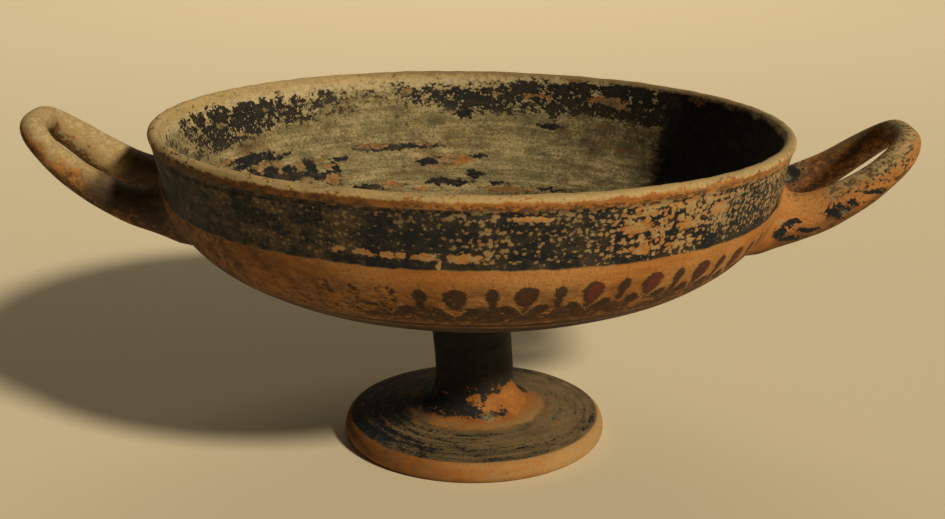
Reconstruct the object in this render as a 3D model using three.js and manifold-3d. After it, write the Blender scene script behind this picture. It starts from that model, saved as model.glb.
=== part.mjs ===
import * as THREE from 'three';
import { mergeVertices } from 'three/addons/utils/BufferGeometryUtils.js';
import Module from 'manifold-3d';

// A stemmed drinking cup of fired clay, in millimetres. It stands on z = 0, and
// +X runs through its right handle. The bowl leans a little to the right.

// Foot
const FOOT_RADIUS = 38.2;
const FOOT_SWELL_HEIGHT = 1.9;
const FOOT_ARRIS_RADIUS = 36.1;
const FOOT_EDGE_HEIGHT = 5.8;
const FOOT_BASE_RADIUS = 36.4;
const FOOT_RISE = 3.1;
const RESTING_RING_WIDTH = 6.0;
const FOOT_WALL = 4.6;

// Stem
const STEM_RADIUS = 11.4;
const STEM_TOP_RADIUS = 12.1;
const STEM_HEIGHT = 34.1;
const FLARE_REACH = 6.6;
const FLARE_HEIGHT = 9.0;
const STEM_WALL = 5.6;
const BORE_TAPER = 1.8;
const CLAY_ABOVE_BORE = 13.5;

// Bowl
const RIM_RADIUS = 87.5;
const RIM_OVAL = 1.0;
const BOWL_DROP = 50.3;
const SHOULDER_RADIUS = 84.0;
const SHOULDER_DROP = 17.0;
const SHOULDER_SLOPE = 0.12;
const LIP_THICKNESS = 3.2;
const WALL_THICKNESS = 4.0;
const FLOOR_THICKNESS = 5.0;
const GROOVE_DROP = 5.4;
const GROOVE_WIDTH = 1.6;
const GROOVE_DEPTH = 0.5;

// Handles, pulled by hand, so that the left one is a little narrower, longer and uneven
const RIGHT_REACH = 31.6;
const LEFT_REACH = 32.6;
const ROOT_HALF_SPAN = 13.8;
const RIGHT_HALF_SPAN = 17.6;
const LEFT_HALF_SPAN = 15.8;
const LEFT_UNEVEN = 0.14;
const HANDLE_ROOT_DROP = 24.6;
const RIGHT_TIP_DROP = 3.1;
const LEFT_TIP_DROP = 2.6;
const HANDLE_TIP_RADIUS = 3.7;
const HANDLE_ROOT_RADIUS = 6.9;
const HANDLE_SQUARENESS = 3.4;
const HANDLE_CURVE = 0.88;
const ROOT_FLARE = 1.4;
const ROOT_FLARE_LENGTH = 5.0;

// Shapes of the curves, as shares of the lengths that they cross
const BELLY_FULLNESS = 0.57;
const UNDERSIDE_REACH = 0.584;
const UNDERSIDE_RISE = 0.07;
const STEM_WAIST_TAPER = 0.15;
const HOLLOW_FULLNESS = 0.92;
const HOLLOW_NECK = 1.2;
const HOLLOW_MOUTH_RISE = 0.55;
const ROOT_SINK = 0.6;
const ROOT_TRIM = 1.5;

// The lean and shifts of hand-made work: the middle of the two handle tips is x = 0
const BOWL_LEAN = 0.011;
const BOWL_SHIFT = 0.6;
const FOOT_SHIFT = 1.2;

// Facets
const AROUND = 60;
const INSIDE_STEPS = 9;
const BELLY_STEPS = 11;
const HOLLOW_STEPS = 7;
const HANDLE_AROUND = 12;
const HANDLE_STEPS = 28;

// Heights that follow from the sizes above
const FOOT_TOP = FOOT_EDGE_HEIGHT + FOOT_RISE;
const STEM_TOP = FOOT_TOP + STEM_HEIGHT;
const RIM_HEIGHT = STEM_TOP + BOWL_DROP;

const point = (r, z) => new THREE.Vector2(r, z);

// Points of a quarter ellipse about (r, z), from angle a to angle b in quarter turns.
function arc(r, z, width, height, a, b, steps) {
  const points = [];
  for (let i = 0; i <= steps; i += 1) {
    const angle = (a + ((b - a) * i) / steps) * (Math.PI / 2);
    points.push(point(r + width * Math.cos(angle), z + height * Math.sin(angle)));
  }
  return points;
}

// The bowl's outside below the lip, from the shoulder down to the top of the stem.
function bellyCurve() {
  const drop = BOWL_DROP - SHOULDER_DROP;
  const reach = SHOULDER_RADIUS - STEM_TOP_RADIUS;
  const shoulder = RIM_HEIGHT - SHOULDER_DROP;
  return new THREE.CubicBezierCurve(
    point(SHOULDER_RADIUS, shoulder),
    point(SHOULDER_RADIUS - SHOULDER_SLOPE * BELLY_FULLNESS * drop, shoulder - BELLY_FULLNESS * drop),
    point(STEM_TOP_RADIUS + UNDERSIDE_REACH * reach, STEM_TOP + UNDERSIDE_RISE * drop),
    point(STEM_TOP_RADIUS, STEM_TOP),
  );
}

// The lip flares out in a straight line from the shoulder.
function lipRadius(drop) {
  return RIM_RADIUS + (SHOULDER_RADIUS - RIM_RADIUS) * (drop / SHOULDER_DROP);
}

function grooveProfile() {
  const half = GROOVE_WIDTH / 2;
  return [
    point(lipRadius(GROOVE_DROP - half), RIM_HEIGHT - GROOVE_DROP + half),
    point(lipRadius(GROOVE_DROP) - GROOVE_DEPTH, RIM_HEIGHT - GROOVE_DROP),
    point(lipRadius(GROOVE_DROP + half), RIM_HEIGHT - GROOVE_DROP - half),
  ];
}

// The bowl's inside, from the middle of the floor up to the lip, at a share of the
// wall's thickness in from the outside: 1 is the true inside, 0.5 the middle of the wall.
function insideProfile(share) {
  const curve = bellyCurve();
  const slope = curve.getTangent(1);
  const dip = (STEM_TOP_RADIUS * slope.y) / slope.x / 2;
  const points = [point(0, STEM_TOP + share * FLOOR_THICKNESS - dip)];
  for (let i = INSIDE_STEPS; i >= 0; i -= 1) {
    const t = i / INSIDE_STEPS;
    const thickness = share * (WALL_THICKNESS + (FLOOR_THICKNESS - WALL_THICKNESS) * t);
    const on = curve.getPoint(t);
    const along = curve.getTangent(t);
    points.push(point(on.x + along.y * thickness, on.y - along.x * thickness));
  }
  return points;
}

function lipProfile() {
  const half = LIP_THICKNESS / 2;
  return arc(RIM_RADIUS - half, RIM_HEIGHT - half, half, half, 2, 0, 6);
}

function bellyProfile() {
  return bellyCurve().getPoints(BELLY_STEPS);
}

function stemProfile() {
  const waist = STEM_RADIUS + STEM_WAIST_TAPER * (STEM_TOP_RADIUS - STEM_RADIUS);
  const middle = point(waist, STEM_TOP - STEM_HEIGHT / 2);
  const flare = arc(STEM_RADIUS + FLARE_REACH, FOOT_TOP + FLARE_HEIGHT, FLARE_REACH, FLARE_HEIGHT, 2, 3, 5);
  return [middle, ...flare];
}

// The foot's rounded edge, from its upper arris to the outside of the resting ring.
function footEdgeProfile() {
  const above = FOOT_EDGE_HEIGHT - FOOT_SWELL_HEIGHT;
  const swell = FOOT_SWELL_HEIGHT;
  const upper = arc(FOOT_ARRIS_RADIUS, swell, FOOT_RADIUS - FOOT_ARRIS_RADIUS, above, 1, 0, 4);
  const lower = arc(FOOT_BASE_RADIUS, swell, FOOT_RADIUS - FOOT_BASE_RADIUS, swell, 0, -1, 3);
  return [...upper, ...lower.slice(1)];
}

// The hollow under the foot runs up into the stem and closes in a round end.
function hollowProfile() {
  const ring = FOOT_BASE_RADIUS - RESTING_RING_WIDTH;
  const bore = STEM_RADIUS - STEM_WALL;
  const boreTop = STEM_TOP + FLOOR_THICKNESS - CLAY_ABOVE_BORE;
  const ceiling = FOOT_TOP - FOOT_WALL;
  const underside = new THREE.CubicBezierCurve(
    point(ring, 0),
    point(HOLLOW_FULLNESS * ring, ceiling),
    point(HOLLOW_NECK * bore, HOLLOW_MOUTH_RISE * ceiling),
    point(bore, FOOT_TOP + HOLLOW_MOUTH_RISE * FLARE_HEIGHT),
  );
  const end = arc(0, boreTop - bore, bore - BORE_TAPER, bore, 0, 1, 3);
  return [...underside.getPoints(HOLLOW_STEPS), ...end];
}

// The whole section, from the top of the bore out round the foot and lip to the floor's middle.
function bodyProfile() {
  return [
    ...insideProfile(1),
    ...lipProfile(),
    ...grooveProfile(),
    ...bellyProfile(),
    ...stemProfile(),
    ...footEdgeProfile(),
    ...hollowProfile(),
  ].reverse();
}

// Everything that the handles are trimmed with: the inside out to the middle of the wall.
function trimProfile() {
  const above = RIM_HEIGHT + LIP_THICKNESS;
  const wall = RIM_RADIUS - LIP_THICKNESS / 2;
  return [...insideProfile(0.5), point(wall, RIM_HEIGHT), point(wall, above), point(0, above)];
}

// Radius of the outside at a height on the bowl, found by halving along the curve.
function outsideRadius(z) {
  if (z >= RIM_HEIGHT - SHOULDER_DROP) return lipRadius(RIM_HEIGHT - z);
  const curve = bellyCurve();
  const halvings = 30;
  let low = 0;
  let high = 1;
  for (let i = 0; i < halvings; i += 1) {
    const t = (low + high) / 2;
    if (curve.getPoint(t).y > z) low = t;
    else high = t;
  }
  return curve.getPoint(low).x;
}

// Centre line of one handle: a rounded U that leaves the wall, rises and turns back.
class HandleCurve extends THREE.Curve {
  constructor(side, reach, tipDrop, halfSpan) {
    super();
    this.side = side;
    this.tipX = RIM_RADIUS + reach;
    this.rise = HANDLE_ROOT_DROP - tipDrop;
    this.halfSpan = halfSpan;
    this.rootHeight = RIM_HEIGHT - HANDLE_ROOT_DROP;
    this.rootX = outsideRadius(this.rootHeight) - ROOT_SINK * WALL_THICKNESS;
  }

  getPoint(t, target = new THREE.Vector3()) {
    const angle = (t - 0.5) * Math.PI;
    const power = 2 / HANDLE_SQUARENESS;
    const out = Math.abs(Math.cos(angle)) ** power;
    const across = Math.sign(angle) * Math.abs(Math.sin(angle)) ** power;
    const length = this.tipX - this.rootX;
    const climb = (1 - HANDLE_CURVE) * out + HANDLE_CURVE * out * out;
    const halfSpan = ROOT_HALF_SPAN + (this.halfSpan - ROOT_HALF_SPAN) * out;
    return target.set(
      this.side * (this.rootX + length * out),
      halfSpan * across,
      this.rootHeight + this.rise * climb,
    );
  }
}

// Closed tube through a row of rings, with a fan of triangles over each end.
function tube(rings) {
  const around = rings[0].points.length;
  const vertices = [];
  const faces = [];
  for (const ring of rings) for (const p of ring.points) vertices.push(p.x, p.y, p.z);
  for (let i = 0; i + 1 < rings.length; i += 1) {
    for (let j = 0; j < around; j += 1) {
      const a = i * around + j;
      const b = i * around + ((j + 1) % around);
      faces.push(a, b + around, b, a, a + around, b + around);
    }
  }
  const last = (rings.length - 1) * around;
  for (let j = 1; j + 1 < around; j += 1) {
    faces.push(0, j, j + 1);
    faces.push(last, last + j + 1, last + j);
  }
  const geometry = new THREE.BufferGeometry();
  geometry.setAttribute('position', new THREE.Float32BufferAttribute(vertices, 3));
  geometry.setIndex(faces);
  return geometry;
}

// The handle's round section is thicker at the roots and flares where it meets the wall.
// uneven is how much thicker its +Y leg is than its mean.
function handleGeometry(curve, uneven) {
  const { side } = curve;
  const sunk = ROOT_TRIM * WALL_THICKNESS;
  const centres = curve.getSpacedPoints(HANDLE_STEPS);
  const first = centres[0].clone().setX(side * (curve.rootX - sunk));
  const final = centres[centres.length - 1].clone().setX(side * (curve.rootX - sunk));
  const path = [first, ...centres, final];
  const rings = path.map((centre, i) => {
    const before = path[Math.max(i - 1, 0)];
    const after = path[Math.min(i + 1, path.length - 1)];
    const along = after.clone().sub(before).normalize();
    const up = new THREE.Vector3(0, 0, 1);
    const across = along.clone().cross(up).normalize();
    up.copy(across).cross(along);
    const out = Math.max(Math.abs(centre.x) - curve.rootX, 0);
    const share = out / (curve.tipX - curve.rootX);
    const flare = ROOT_FLARE * Math.exp(-out / ROOT_FLARE_LENGTH);
    const leg = 1 + (uneven * centre.y) / curve.halfSpan;
    const radius = leg * THREE.MathUtils.lerp(HANDLE_ROOT_RADIUS, HANDLE_TIP_RADIUS, share) + flare;
    const points = [];
    for (let j = 0; j < HANDLE_AROUND; j += 1) {
      const angle = (2 * Math.PI * j) / HANDLE_AROUND;
      const p = centre.clone();
      p.addScaledVector(across, radius * Math.cos(angle));
      p.addScaledVector(up, radius * Math.sin(angle));
      points.push(p);
    }
    return { points };
  });
  return tube(rings);
}

function lathe(profile) {
  const geometry = new THREE.LatheGeometry(profile, AROUND);
  geometry.rotateX(Math.PI / 2);
  return geometry;
}

// Sets the bowl and handles leaning and slightly oval above the foot, and shifts the foot.
function settle(geometry) {
  const position = geometry.getAttribute('position');
  for (let i = 0; i < position.count; i += 1) {
    const x = position.getX(i);
    const y = position.getY(i);
    const z = position.getZ(i);
    const bowl = THREE.MathUtils.smoothstep(z, FOOT_TOP + FLARE_HEIGHT, STEM_TOP);
    const high = THREE.MathUtils.clamp((z - STEM_TOP) / BOWL_DROP, 0, 1);
    const radius = Math.max(Math.hypot(x, y), 1);
    const oval = (RIM_OVAL * high * Math.min(radius, RIM_RADIUS)) / (RIM_RADIUS * radius);
    const tilt = BOWL_LEAN * (z - RIM_HEIGHT);
    const shift = FOOT_SHIFT * (1 - bowl) + (BOWL_SHIFT + tilt) * bowl;
    position.setXYZ(i, x * (1 + oval) + shift, y * (1 - oval), z - bowl * BOWL_LEAN * x);
  }
  return geometry;
}

const wasm = await Module();
wasm.setup();

function toSolid(geometry) {
  const bare = geometry.clone();
  bare.deleteAttribute('normal');
  bare.deleteAttribute('uv');
  const merged = mergeVertices(bare, 1e-4);
  const vertProperties = new Float32Array(merged.getAttribute('position').array);
  const triVerts = new Uint32Array(merged.getIndex().array);
  return new wasm.Manifold(new wasm.Mesh({ numProp: 3, vertProperties, triVerts }));
}

function toGeometry(solid) {
  const mesh = solid.getMesh();
  const geometry = new THREE.BufferGeometry();
  geometry.setAttribute('position', new THREE.BufferAttribute(mesh.vertProperties, 3));
  geometry.setIndex(new THREE.BufferAttribute(mesh.triVerts, 1));
  geometry.computeVertexNormals();
  return geometry;
}

function cupGeometry() {
  const body = toSolid(settle(lathe(bodyProfile())));
  const trim = toSolid(settle(lathe(trimProfile())));
  const rightCurve = new HandleCurve(1, RIGHT_REACH, RIGHT_TIP_DROP, RIGHT_HALF_SPAN);
  const leftCurve = new HandleCurve(-1, LEFT_REACH, LEFT_TIP_DROP, LEFT_HALF_SPAN);
  const right = toSolid(settle(handleGeometry(rightCurve, 0))).subtract(trim);
  const left = toSolid(settle(handleGeometry(leftCurve, LEFT_UNEVEN))).subtract(trim);
  return toGeometry(body.add(right).add(left));
}

const clay = new THREE.MeshStandardMaterial({ color: 0x6b4228, roughness: 0.62, metalness: 0 });
const kylix = new THREE.Mesh(cupGeometry(), clay);
kylix.name = 'kylix';

const cup = new THREE.Group();
cup.add(kylix);

export default cup;
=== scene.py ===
"""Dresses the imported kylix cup: a stemmed two-handled cup of fired clay, painted and worn."""

import math
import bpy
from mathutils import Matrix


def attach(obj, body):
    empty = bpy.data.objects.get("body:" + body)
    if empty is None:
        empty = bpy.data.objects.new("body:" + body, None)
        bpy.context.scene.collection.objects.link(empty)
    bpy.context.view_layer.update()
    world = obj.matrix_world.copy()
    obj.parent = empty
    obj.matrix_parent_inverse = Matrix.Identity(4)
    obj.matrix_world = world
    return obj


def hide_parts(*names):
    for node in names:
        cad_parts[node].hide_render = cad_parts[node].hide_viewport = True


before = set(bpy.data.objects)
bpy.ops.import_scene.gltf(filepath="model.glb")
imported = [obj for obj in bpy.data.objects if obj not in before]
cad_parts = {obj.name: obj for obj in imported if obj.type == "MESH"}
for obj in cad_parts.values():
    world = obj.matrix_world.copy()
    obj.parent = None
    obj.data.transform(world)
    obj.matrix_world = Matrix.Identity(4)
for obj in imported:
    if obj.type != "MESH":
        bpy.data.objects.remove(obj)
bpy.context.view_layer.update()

from types import SimpleNamespace

import bmesh
import bpy
import numpy as np
from bpy.props import FloatProperty, FloatVectorProperty, PointerProperty
from mathutils import Matrix

bl_info = {
    "name": "Kylix Cup",
    "version": (1, 0, 0),
    "blender": (4, 5, 0),
    "location": "3D View > Sidebar > Cup",
    "description": "Makes a worn, painted stemmed cup and the stage that it stands on",
    "category": "Object",
}

# Lengths inside the working are in millimetres, and a finished mesh is in metres
MM = 0.001

# Shapes of the curves, as shares of the lengths that they cross
SHOULDER_SLOPE = 0.12
BELLY_FULLNESS = 0.57
UNDERSIDE_REACH = 0.584
UNDERSIDE_RISE = 0.07
STEM_WAIST_TAPER = 0.15
HOLLOW_FULLNESS = 0.92
HOLLOW_NECK = 1.2
HOLLOW_MOUTH_RISE = 0.55
HANDLE_SQUARENESS = 3.4
HANDLE_CURVE = 0.88
LEFT_UNEVEN = 0.14

# Where the handles are sunk into the wall, as shares of its thickness
ROOT_SINK = 0.6
ROOT_TRIM = 1.5

# Lean and shifts of hand-made work
RIM_OVAL = 1.0
BOWL_LEAN = 0.011
BOWL_SHIFT = 0.6
FOOT_SHIFT = 1.5

# Mesh steps round the cup and along its curves
AROUND = 320
HANDLE_AROUND = 56
HANDLE_STEPS = 120

# Points along each part of the section
INSIDE_STEPS = 40
FLOOR_STEPS = 6
INNER_LIP_POINTS = 15
LIP_STEPS = 12
GROOVE_POINTS = 22
SHOULDER_POINTS = 14
BELLY_POINTS = 40
STEM_POINTS = 13
FLARE_STEPS = 14
FOOT_TOP_POINTS = 17
UPPER_EDGE_STEPS = 8
LOWER_EDGE_STEPS = 6
RESTING_POINTS = 5
HOLLOW_POINTS = 20
BORE_STEPS = 7

# The lip's outside: where its fine steps end and its coarse ones begin, its fade and its groove's spread
FINE_DROP = 8.0
COARSE_DROP = 8.5
LIP_FADE = 2.0
GROOVE_SPREAD = 0.62

# How far from a joint its inside corner is rounded, how far into the clay and in one move, and how often
JOINT_REACH = 11.0
JOINT_DEPTH = 1.5
JOINT_PULL = 0.6
JOINT_ROUNDS = 24

# A handle's own fields are worked out above this height and outside this radius
GRIP_HEIGHT = 30.0
GRIP_RADIUS = 40.0
FAR_OFF = 50.0

# Unevenness by hand, each as its depth, its wavelength and the seed of its waves
BODY_RELIEF = (0.12, 24.0, 3)
LIP_RELIEF = (0.16, 7.0, 5)
LIP_NICKS = (0.05, 2.6, 8)
HANDLE_RELIEF = (0.22, 13.0, 7)
LIP_REACH = 2.6

# The photograph's width and its camera's focal length, in pixels
PICTURE_WIDTH = 945.0
FOCAL_LENGTH = 1331.8

# How rough and how shiny the clay is, and how strong its fine relief is
CLAY_ROUGHNESS = 0.74
GLOSS_SMOOTHER = 0.12
DEPOSIT_ROUGHER = 0.2
CLAY_SPECULAR = 0.12
BUMP_STRENGTH = 0.9

# Half the floor's width, in metres
FLOOR_HALF = 6.0

# Millimetres along the wall for each degree round the cup
DEGREE = 1.45

# Where the gloss was painted, in drops below the rim and distances from the handles
BAND = (3.3, 18.1)
LINE = (35.0, 36.1)
UNDER_LINE = 36.9
PANEL_HALF = 15.0
PANEL_DROP = 13.0
PANEL_FAR = 70.0
ROOT_CLEAR = 3.4

# The frieze: width of a unit, and where one heart stands, in degrees
UNIT = 11.25
HEART_BEARING = -92.3
UNIT_SHARE = 0.97

# Its hearts, buds, leaves, light V and chain: drops below the rim and sizes
HEART_TOP = 21.8
HEART_SIZE = 6.8
BUD_TOP = 22.2
BUD_HEIGHT = 3.8
BUD_WIDTH = 3.4
STALK = (23.0, 28.6)
LEAF_OUT = 3.9
LEAF_DROP = 28.7
LEAF_TILT = math.radians(25.0)
LEAF_HALF_LENGTH = 2.1
LEAF_HALF_WIDTH = 1.4
VEE_FOOT = 30.4
VEE_SLOPE = 1.2
VEE_REACH = 3.7
CHAIN = (28.2, 33.8)
FRIEZE = (21.0, 34.0)

# Amounts that change round the cup, as (bearing in degrees, amount).
# How far the frieze wanders down, and how much of it is smudged, faded, hazy and red
FRIEZE_WANDER = [
    (-180, 1.0), (-92, 1.4), (-81, 0.8), (-70, 0.3), (-60, 0.0), (-40, 0.0), (60, 1.0), (180, 1.0),
]
WANDER_MOST = 1.5
SMUDGE = [(-180, 0.5), (-128, 0.5), (-110, 0.80), (-76, 0.86), (-60, 0.62), (180, 0.5)]
FADE = [
    (-180, 0.3), (-128, 0.12), (-106, 0.34), (-97, 0.7), (-84, 0.95), (-46, 0.9), (-30, 0.7), (40, 0.5),
    (140, 0.7), (180, 0.3),
]
HAZE = [(-180, 0.2), (-128, 0.24), (-100, 0.42), (-76, 0.38), (-50, 0.22), (180, 0.2)]
RED_SHOWN = [
    (-180, 0.20), (-100, 0.20), (-90, 0.28), (-80, 0.36), (-72, 0.60), (-56, 0.60), (-44, 0.34), (-36, 0.56),
    (30, 0.30), (90, 0.55), (180, 0.20),
]

# How much of the outer band has flaked off, or is rubbed thin
BAND_WORN = [
    (-180, 0.06), (-140, 0.02), (-122, 0.10), (-110, 0.14), (-96, 0.12), (-87, 0.34), (-80, 0.28),
    (-74, 0.25), (-69, 0.38), (-63, 0.58), (-55, 0.56), (-46, 0.38), (-24, 0.42), (40, 0.36),
    (110, 0.24), (180, 0.10),
]
BAND_RUBBED = [
    (-180, 0.3), (-150, 0.5), (-130, 0.9), (-110, 0.7), (-98, 0.15), (-86, 0.3), (-40, 0.3), (60, 0.1),
    (180, 0.3),
]

# The belt of gloss inside: its upper and lower edges as drops, and how dense it is
BELT_TOP = [
    (-180, 4.0), (-90, 3.0), (0, 1.6), (34, 1.0), (62, 1.0), (74, 2.0), (84, 4.0), (94, 4.4), (103, 4.0),
    (130, 4.6), (150, 4.6), (164, 3.6), (180, 4.0),
]
BELT_LOW = [
    (-180, 15.0), (-90, 17.0), (0, 19.0), (50, 13.5), (62, 13.0), (70, 14.5), (80, 13.8), (92, 13.6),
    (100, 11.5), (112, 11.5), (130, 14.0), (150, 15.6), (160, 17.5), (170, 18.0), (180, 15.0),
]
BELT_DENSE = [
    (-180, 0.40), (-90, 0.7), (20, 0.8), (50, 0.84), (62, 0.78), (78, 0.74), (92, 0.88), (104, 0.80),
    (109, 0.46), (119, 0.42), (125, 0.60), (134, 0.78), (154, 0.82), (162, 0.74), (168, 0.56), (180, 0.34),
]
BELT_MOST = 20.0

# Stain of the bowl's clay, with painted shade on the left side away from the light, and of the strip under
# the lip, and how deep cream lies inside
CLAY_STAIN_AND_SHADE = [
    (-180, 0.7), (-140, 0.8), (-120, 0.44), (-100, 0.14), (-88, 0.04), (-40, 0.0), (30, 0.1), (180, 0.7),
]
LIP_SHADE = [(-180, 0.9), (-122, 0.8), (-104, 0.5), (-92, 0.1), (30, 0.0), (180, 0.9)]
CREAM_REACH = [(-180, 5.0), (0, 2.0), (40, 1.0), (66, 1.0), (86, 3.6), (110, 4.8), (140, 5.6), (180, 5.6)]
CREAM_MOST = 9.0

# The lip: how deep its cream reaches, its worn crest, where its cracks start, and grey flecks
LIP_DEPTH = [(-180, 4.0), (-90, 3.0), (20, 1.6), (70, 1.6), (90, 3.0), (180, 4.0)]
LIP_DEPTH_MOST = 4.0
CREST_WORN = [(-180, 0.0), (0, 0.3), (40, 0.75), (100, 0.7), (125, 0.25), (180, 0.0)]
CRACK_START = [(-180, 2.2), (-64, 2.2), (-46, 0.6), (0, 0.6), (40, 2.2), (180, 2.2)]
CRACK_MOST = 2.2
FLECKS = [(-180, 0.3), (-84, 0.1), (-72, 0.5), (-28, 1.0), (20, 0.5), (180, 0.3)]

# The stem's painted sheen on its lit right flank, in the colour of thin deposit, the height up to which its
# flare is bare, and dust and stain of the foot
STEM_SHEEN = [(-180, 0.0), (-104, 0.0), (-66, 0.20), (-20, 0.26), (50, 0.1), (180, 0.0)]
FLARE_BARE = [
    (-180, 8.0), (-128, 8.5), (-108, 11.0), (-96, 13.4), (-72, 14.0), (-50, 15.6), (-24, 17.0), (0, 14.0),
    (24, 8.0), (180, 8.0),
]
FLARE_MOST = 20.0
FOOT_DUSTY = [
    (-180, 0.05), (-152, 0.1), (-124, 0.54), (-90, 0.62), (-30, 0.9), (20, 0.9), (80, 0.6), (180, 0.05),
]
EDGE_DUSTY = [(-180, 0.0), (-112, 0.1), (-80, 0.34), (-40, 0.7), (30, 0.6), (120, 0.3), (180, 0.0)]
EDGE_STAIN = [(-180, 0.5), (-122, 0.5), (-96, 0.14), (-60, 0.0), (60, 0.1), (180, 0.5)]

# Turn of the inside's shaded half about the upright axis; that half is painted black, partly gloss and
# partly painted shadow
SHADE_TURN = math.radians(10.0)

# Patches of wear on the wall, as (bearing, drop below the rim, half width in degrees, half height)
OUTER_FLAKES = [
    (-96.6, 14.9, 2.0, 1.1),
    (-91.0, 15.0, 2.7, 1.1),
    (-100.6, 14.7, 0.8, 0.8),
    (-102.8, 14.8, 1.2, 1.0),
    (-106.5, 14.7, 2.0, 0.8),
    (-110.5, 14.4, 1.6, 0.7),
    (-94.8, 16.9, 0.4, 1.2),
    (-62.6, 15.2, 1.5, 1.1),
    (-64.0, 9.5, 2.6, 1.4),
    (-53.8, 10.4, 2.0, 0.9),
    (-47.0, 8.0, 2.2, 1.2),
    (-81.0, 5.6, 3.4, 0.6),
]
INNER_BLACK = [
    (147.0, 22.2, 9.0, 1.0),
    (151.0, 20.6, 8.0, 1.0),
    (152.0, 26.0, 4.0, 1.2),
    (146.0, 25.5, 2.6, 3.2),
    (141.0, 28.3, 6.5, 1.4),
    (133.6, 26.6, 1.8, 2.4),
    (131.0, 29.6, 4.5, 1.0),
    (127.0, 28.0, 1.0, 2.6),
    (124.5, 26.0, 2.4, 0.8),
    (121.0, 33.7, 8.0, 0.6),
    (108.0, 24.0, 10.0, 0.8),
    (101.5, 28.5, 3.2, 1.0),
    (88.5, 26.9, 2.6, 0.6),
    (96.5, 33.7, 7.0, 0.9),
    (89.0, 31.8, 2.4, 1.0),
    (82.5, 33.6, 2.0, 0.6),
    (66.0, 34.4, 6.0, 0.5),
    (92.0, 13.6, 2.2, 1.5),
    (143.8, 28.0, 3.4, 1.3),
    (148.6, 26.6, 3.0, 1.1),
    (134.8, 28.6, 1.4, 1.4),
    (146.4, 27.4, 3.2, 1.7),
    (140.4, 26.4, 2.2, 1.1),
    (150.6, 24.4, 2.0, 1.3),
    (155.0, 22.6, 3.4, 0.9),
    (110.0, 23.4, 5.0, 0.6),
    (70.5, 16.6, 3.2, 0.9),
    (132.5, 1.0, 1.2, 0.6),
    (152.0, 1.1, 1.0, 0.5),
    (160.0, 3.2, 1.0, 0.6),
]
INNER_CLAY = [
    (57.8, 7.0, 4.8, 1.4),
    (54.0, 8.4, 2.6, 0.8),
    (75.0, 7.2, 3.6, 0.6),
    (105.2, 6.4, 1.5, 1.0),
    (84.2, 6.7, 1.8, 0.4),
    (67.4, 1.2, 2.2, 0.6),
    (34.0, 2.2, 2.4, 1.2),
    (156.6, 9.2, 1.6, 0.9),
    (141.6, 7.9, 0.8, 0.6),
    (151.0, 13.0, 1.4, 0.4),
    (94.0, 28.0, 4.6, 1.3),
    (115.5, 23.1, 4.0, 0.8),
    (102.6, 23.2, 1.8, 0.5),
    (148.0, 23.8, 3.0, 1.0),
    (142.4, 24.0, 1.8, 1.0),
    (129.0, 27.0, 2.4, 0.6),
    (137.0, 30.2, 2.2, 1.0),
    (129.6, 30.8, 2.2, 1.2),
    (113.5, 33.8, 4.0, 0.7),
    (105.5, 35.2, 2.4, 0.6),
    (78.6, 35.2, 7.4, 0.8),
    (162.0, 19.6, 6.0, 0.7),
]

# Spots on stem, foot and handles, as a centre and half sizes in millimetres
FLARE_BLACK = [
    ((-1.5, -14.0, 11.0), (3.6, 3.0, 1.7)),
    ((8.6, -13.2, 10.8), (2.2, 2.2, 1.7)),
    ((3.6, -14.6, 10.0), (5.4, 2.6, 0.9)),
    ((2.6, -12.0, 14.4), (0.9, 2.0, 2.0)),
    ((6.5, -9.6, 16.5), (1.5, 2.0, 1.2)),
]
PALE_SPOTS = [
    ((4.2, -14.9, 9.7), (2.3, 2.4, 1.6)),
    ((96.4, -20.5, 77.0), (1.6, 3.0, 1.1)),
    ((99.6, -21.0, 73.6), (1.2, 3.0, 0.7)),
    ((90.6, 11.0, 75.6), (2.0, 3.0, 1.2)),
    ((82.2, -21.5, 71.0), (1.7, 3.0, 1.2)),
]
GRIP_BLACK = [
    ((98.0, -20.5, 73.4), (3.6, 4.0, 2.4)),
    ((102.0, -20.0, 76.2), (1.8, 3.0, 1.0)),
    ((106.4, -18.6, 79.0), (3.4, 3.0, 0.8)),
    ((82.4, -21.5, 67.8), (2.4, 4.0, 1.8)),
    ((85.6, -21.5, 70.3), (3.0, 4.0, 1.0)),
    ((85.4, -20.5, 65.8), (3.6, 4.0, 0.8)),
    ((90.6, -20.5, 68.3), (3.6, 4.0, 0.7)),
    ((91.6, 11.5, 76.4), (3.2, 4.0, 2.4)),
]


def length(label, millimetres, about):
    """A length that a user can change, kept in metres."""
    return FloatProperty(
        name=label,
        description=about,
        default=millimetres * MM,
        min=0.0,
        unit="LENGTH",
        precision=4,
    )


def colour(label, red, green, blue, about):
    """A colour that a user can change."""
    return FloatVectorProperty(
        name=label,
        description=about,
        default=(red, green, blue),
        min=0.0,
        max=1.0,
        size=3,
        subtype="COLOR",
    )


def amount(label, share, about):
    """A share from 0 to 1 that a user can change."""
    return FloatProperty(
        name=label,
        description=about,
        default=share,
        min=0.0,
        max=1.0,
        subtype="FACTOR",
    )


def angle(label, radians, about):
    """An angle that a user can change."""
    return FloatProperty(name=label, description=about, default=radians, subtype="ANGLE")


def position(label, metres, about):
    """A place that a user can change, in metres."""
    return FloatVectorProperty(
        name=label,
        description=about,
        default=metres,
        size=3,
        subtype="TRANSLATION",
        unit="LENGTH",
    )


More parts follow.
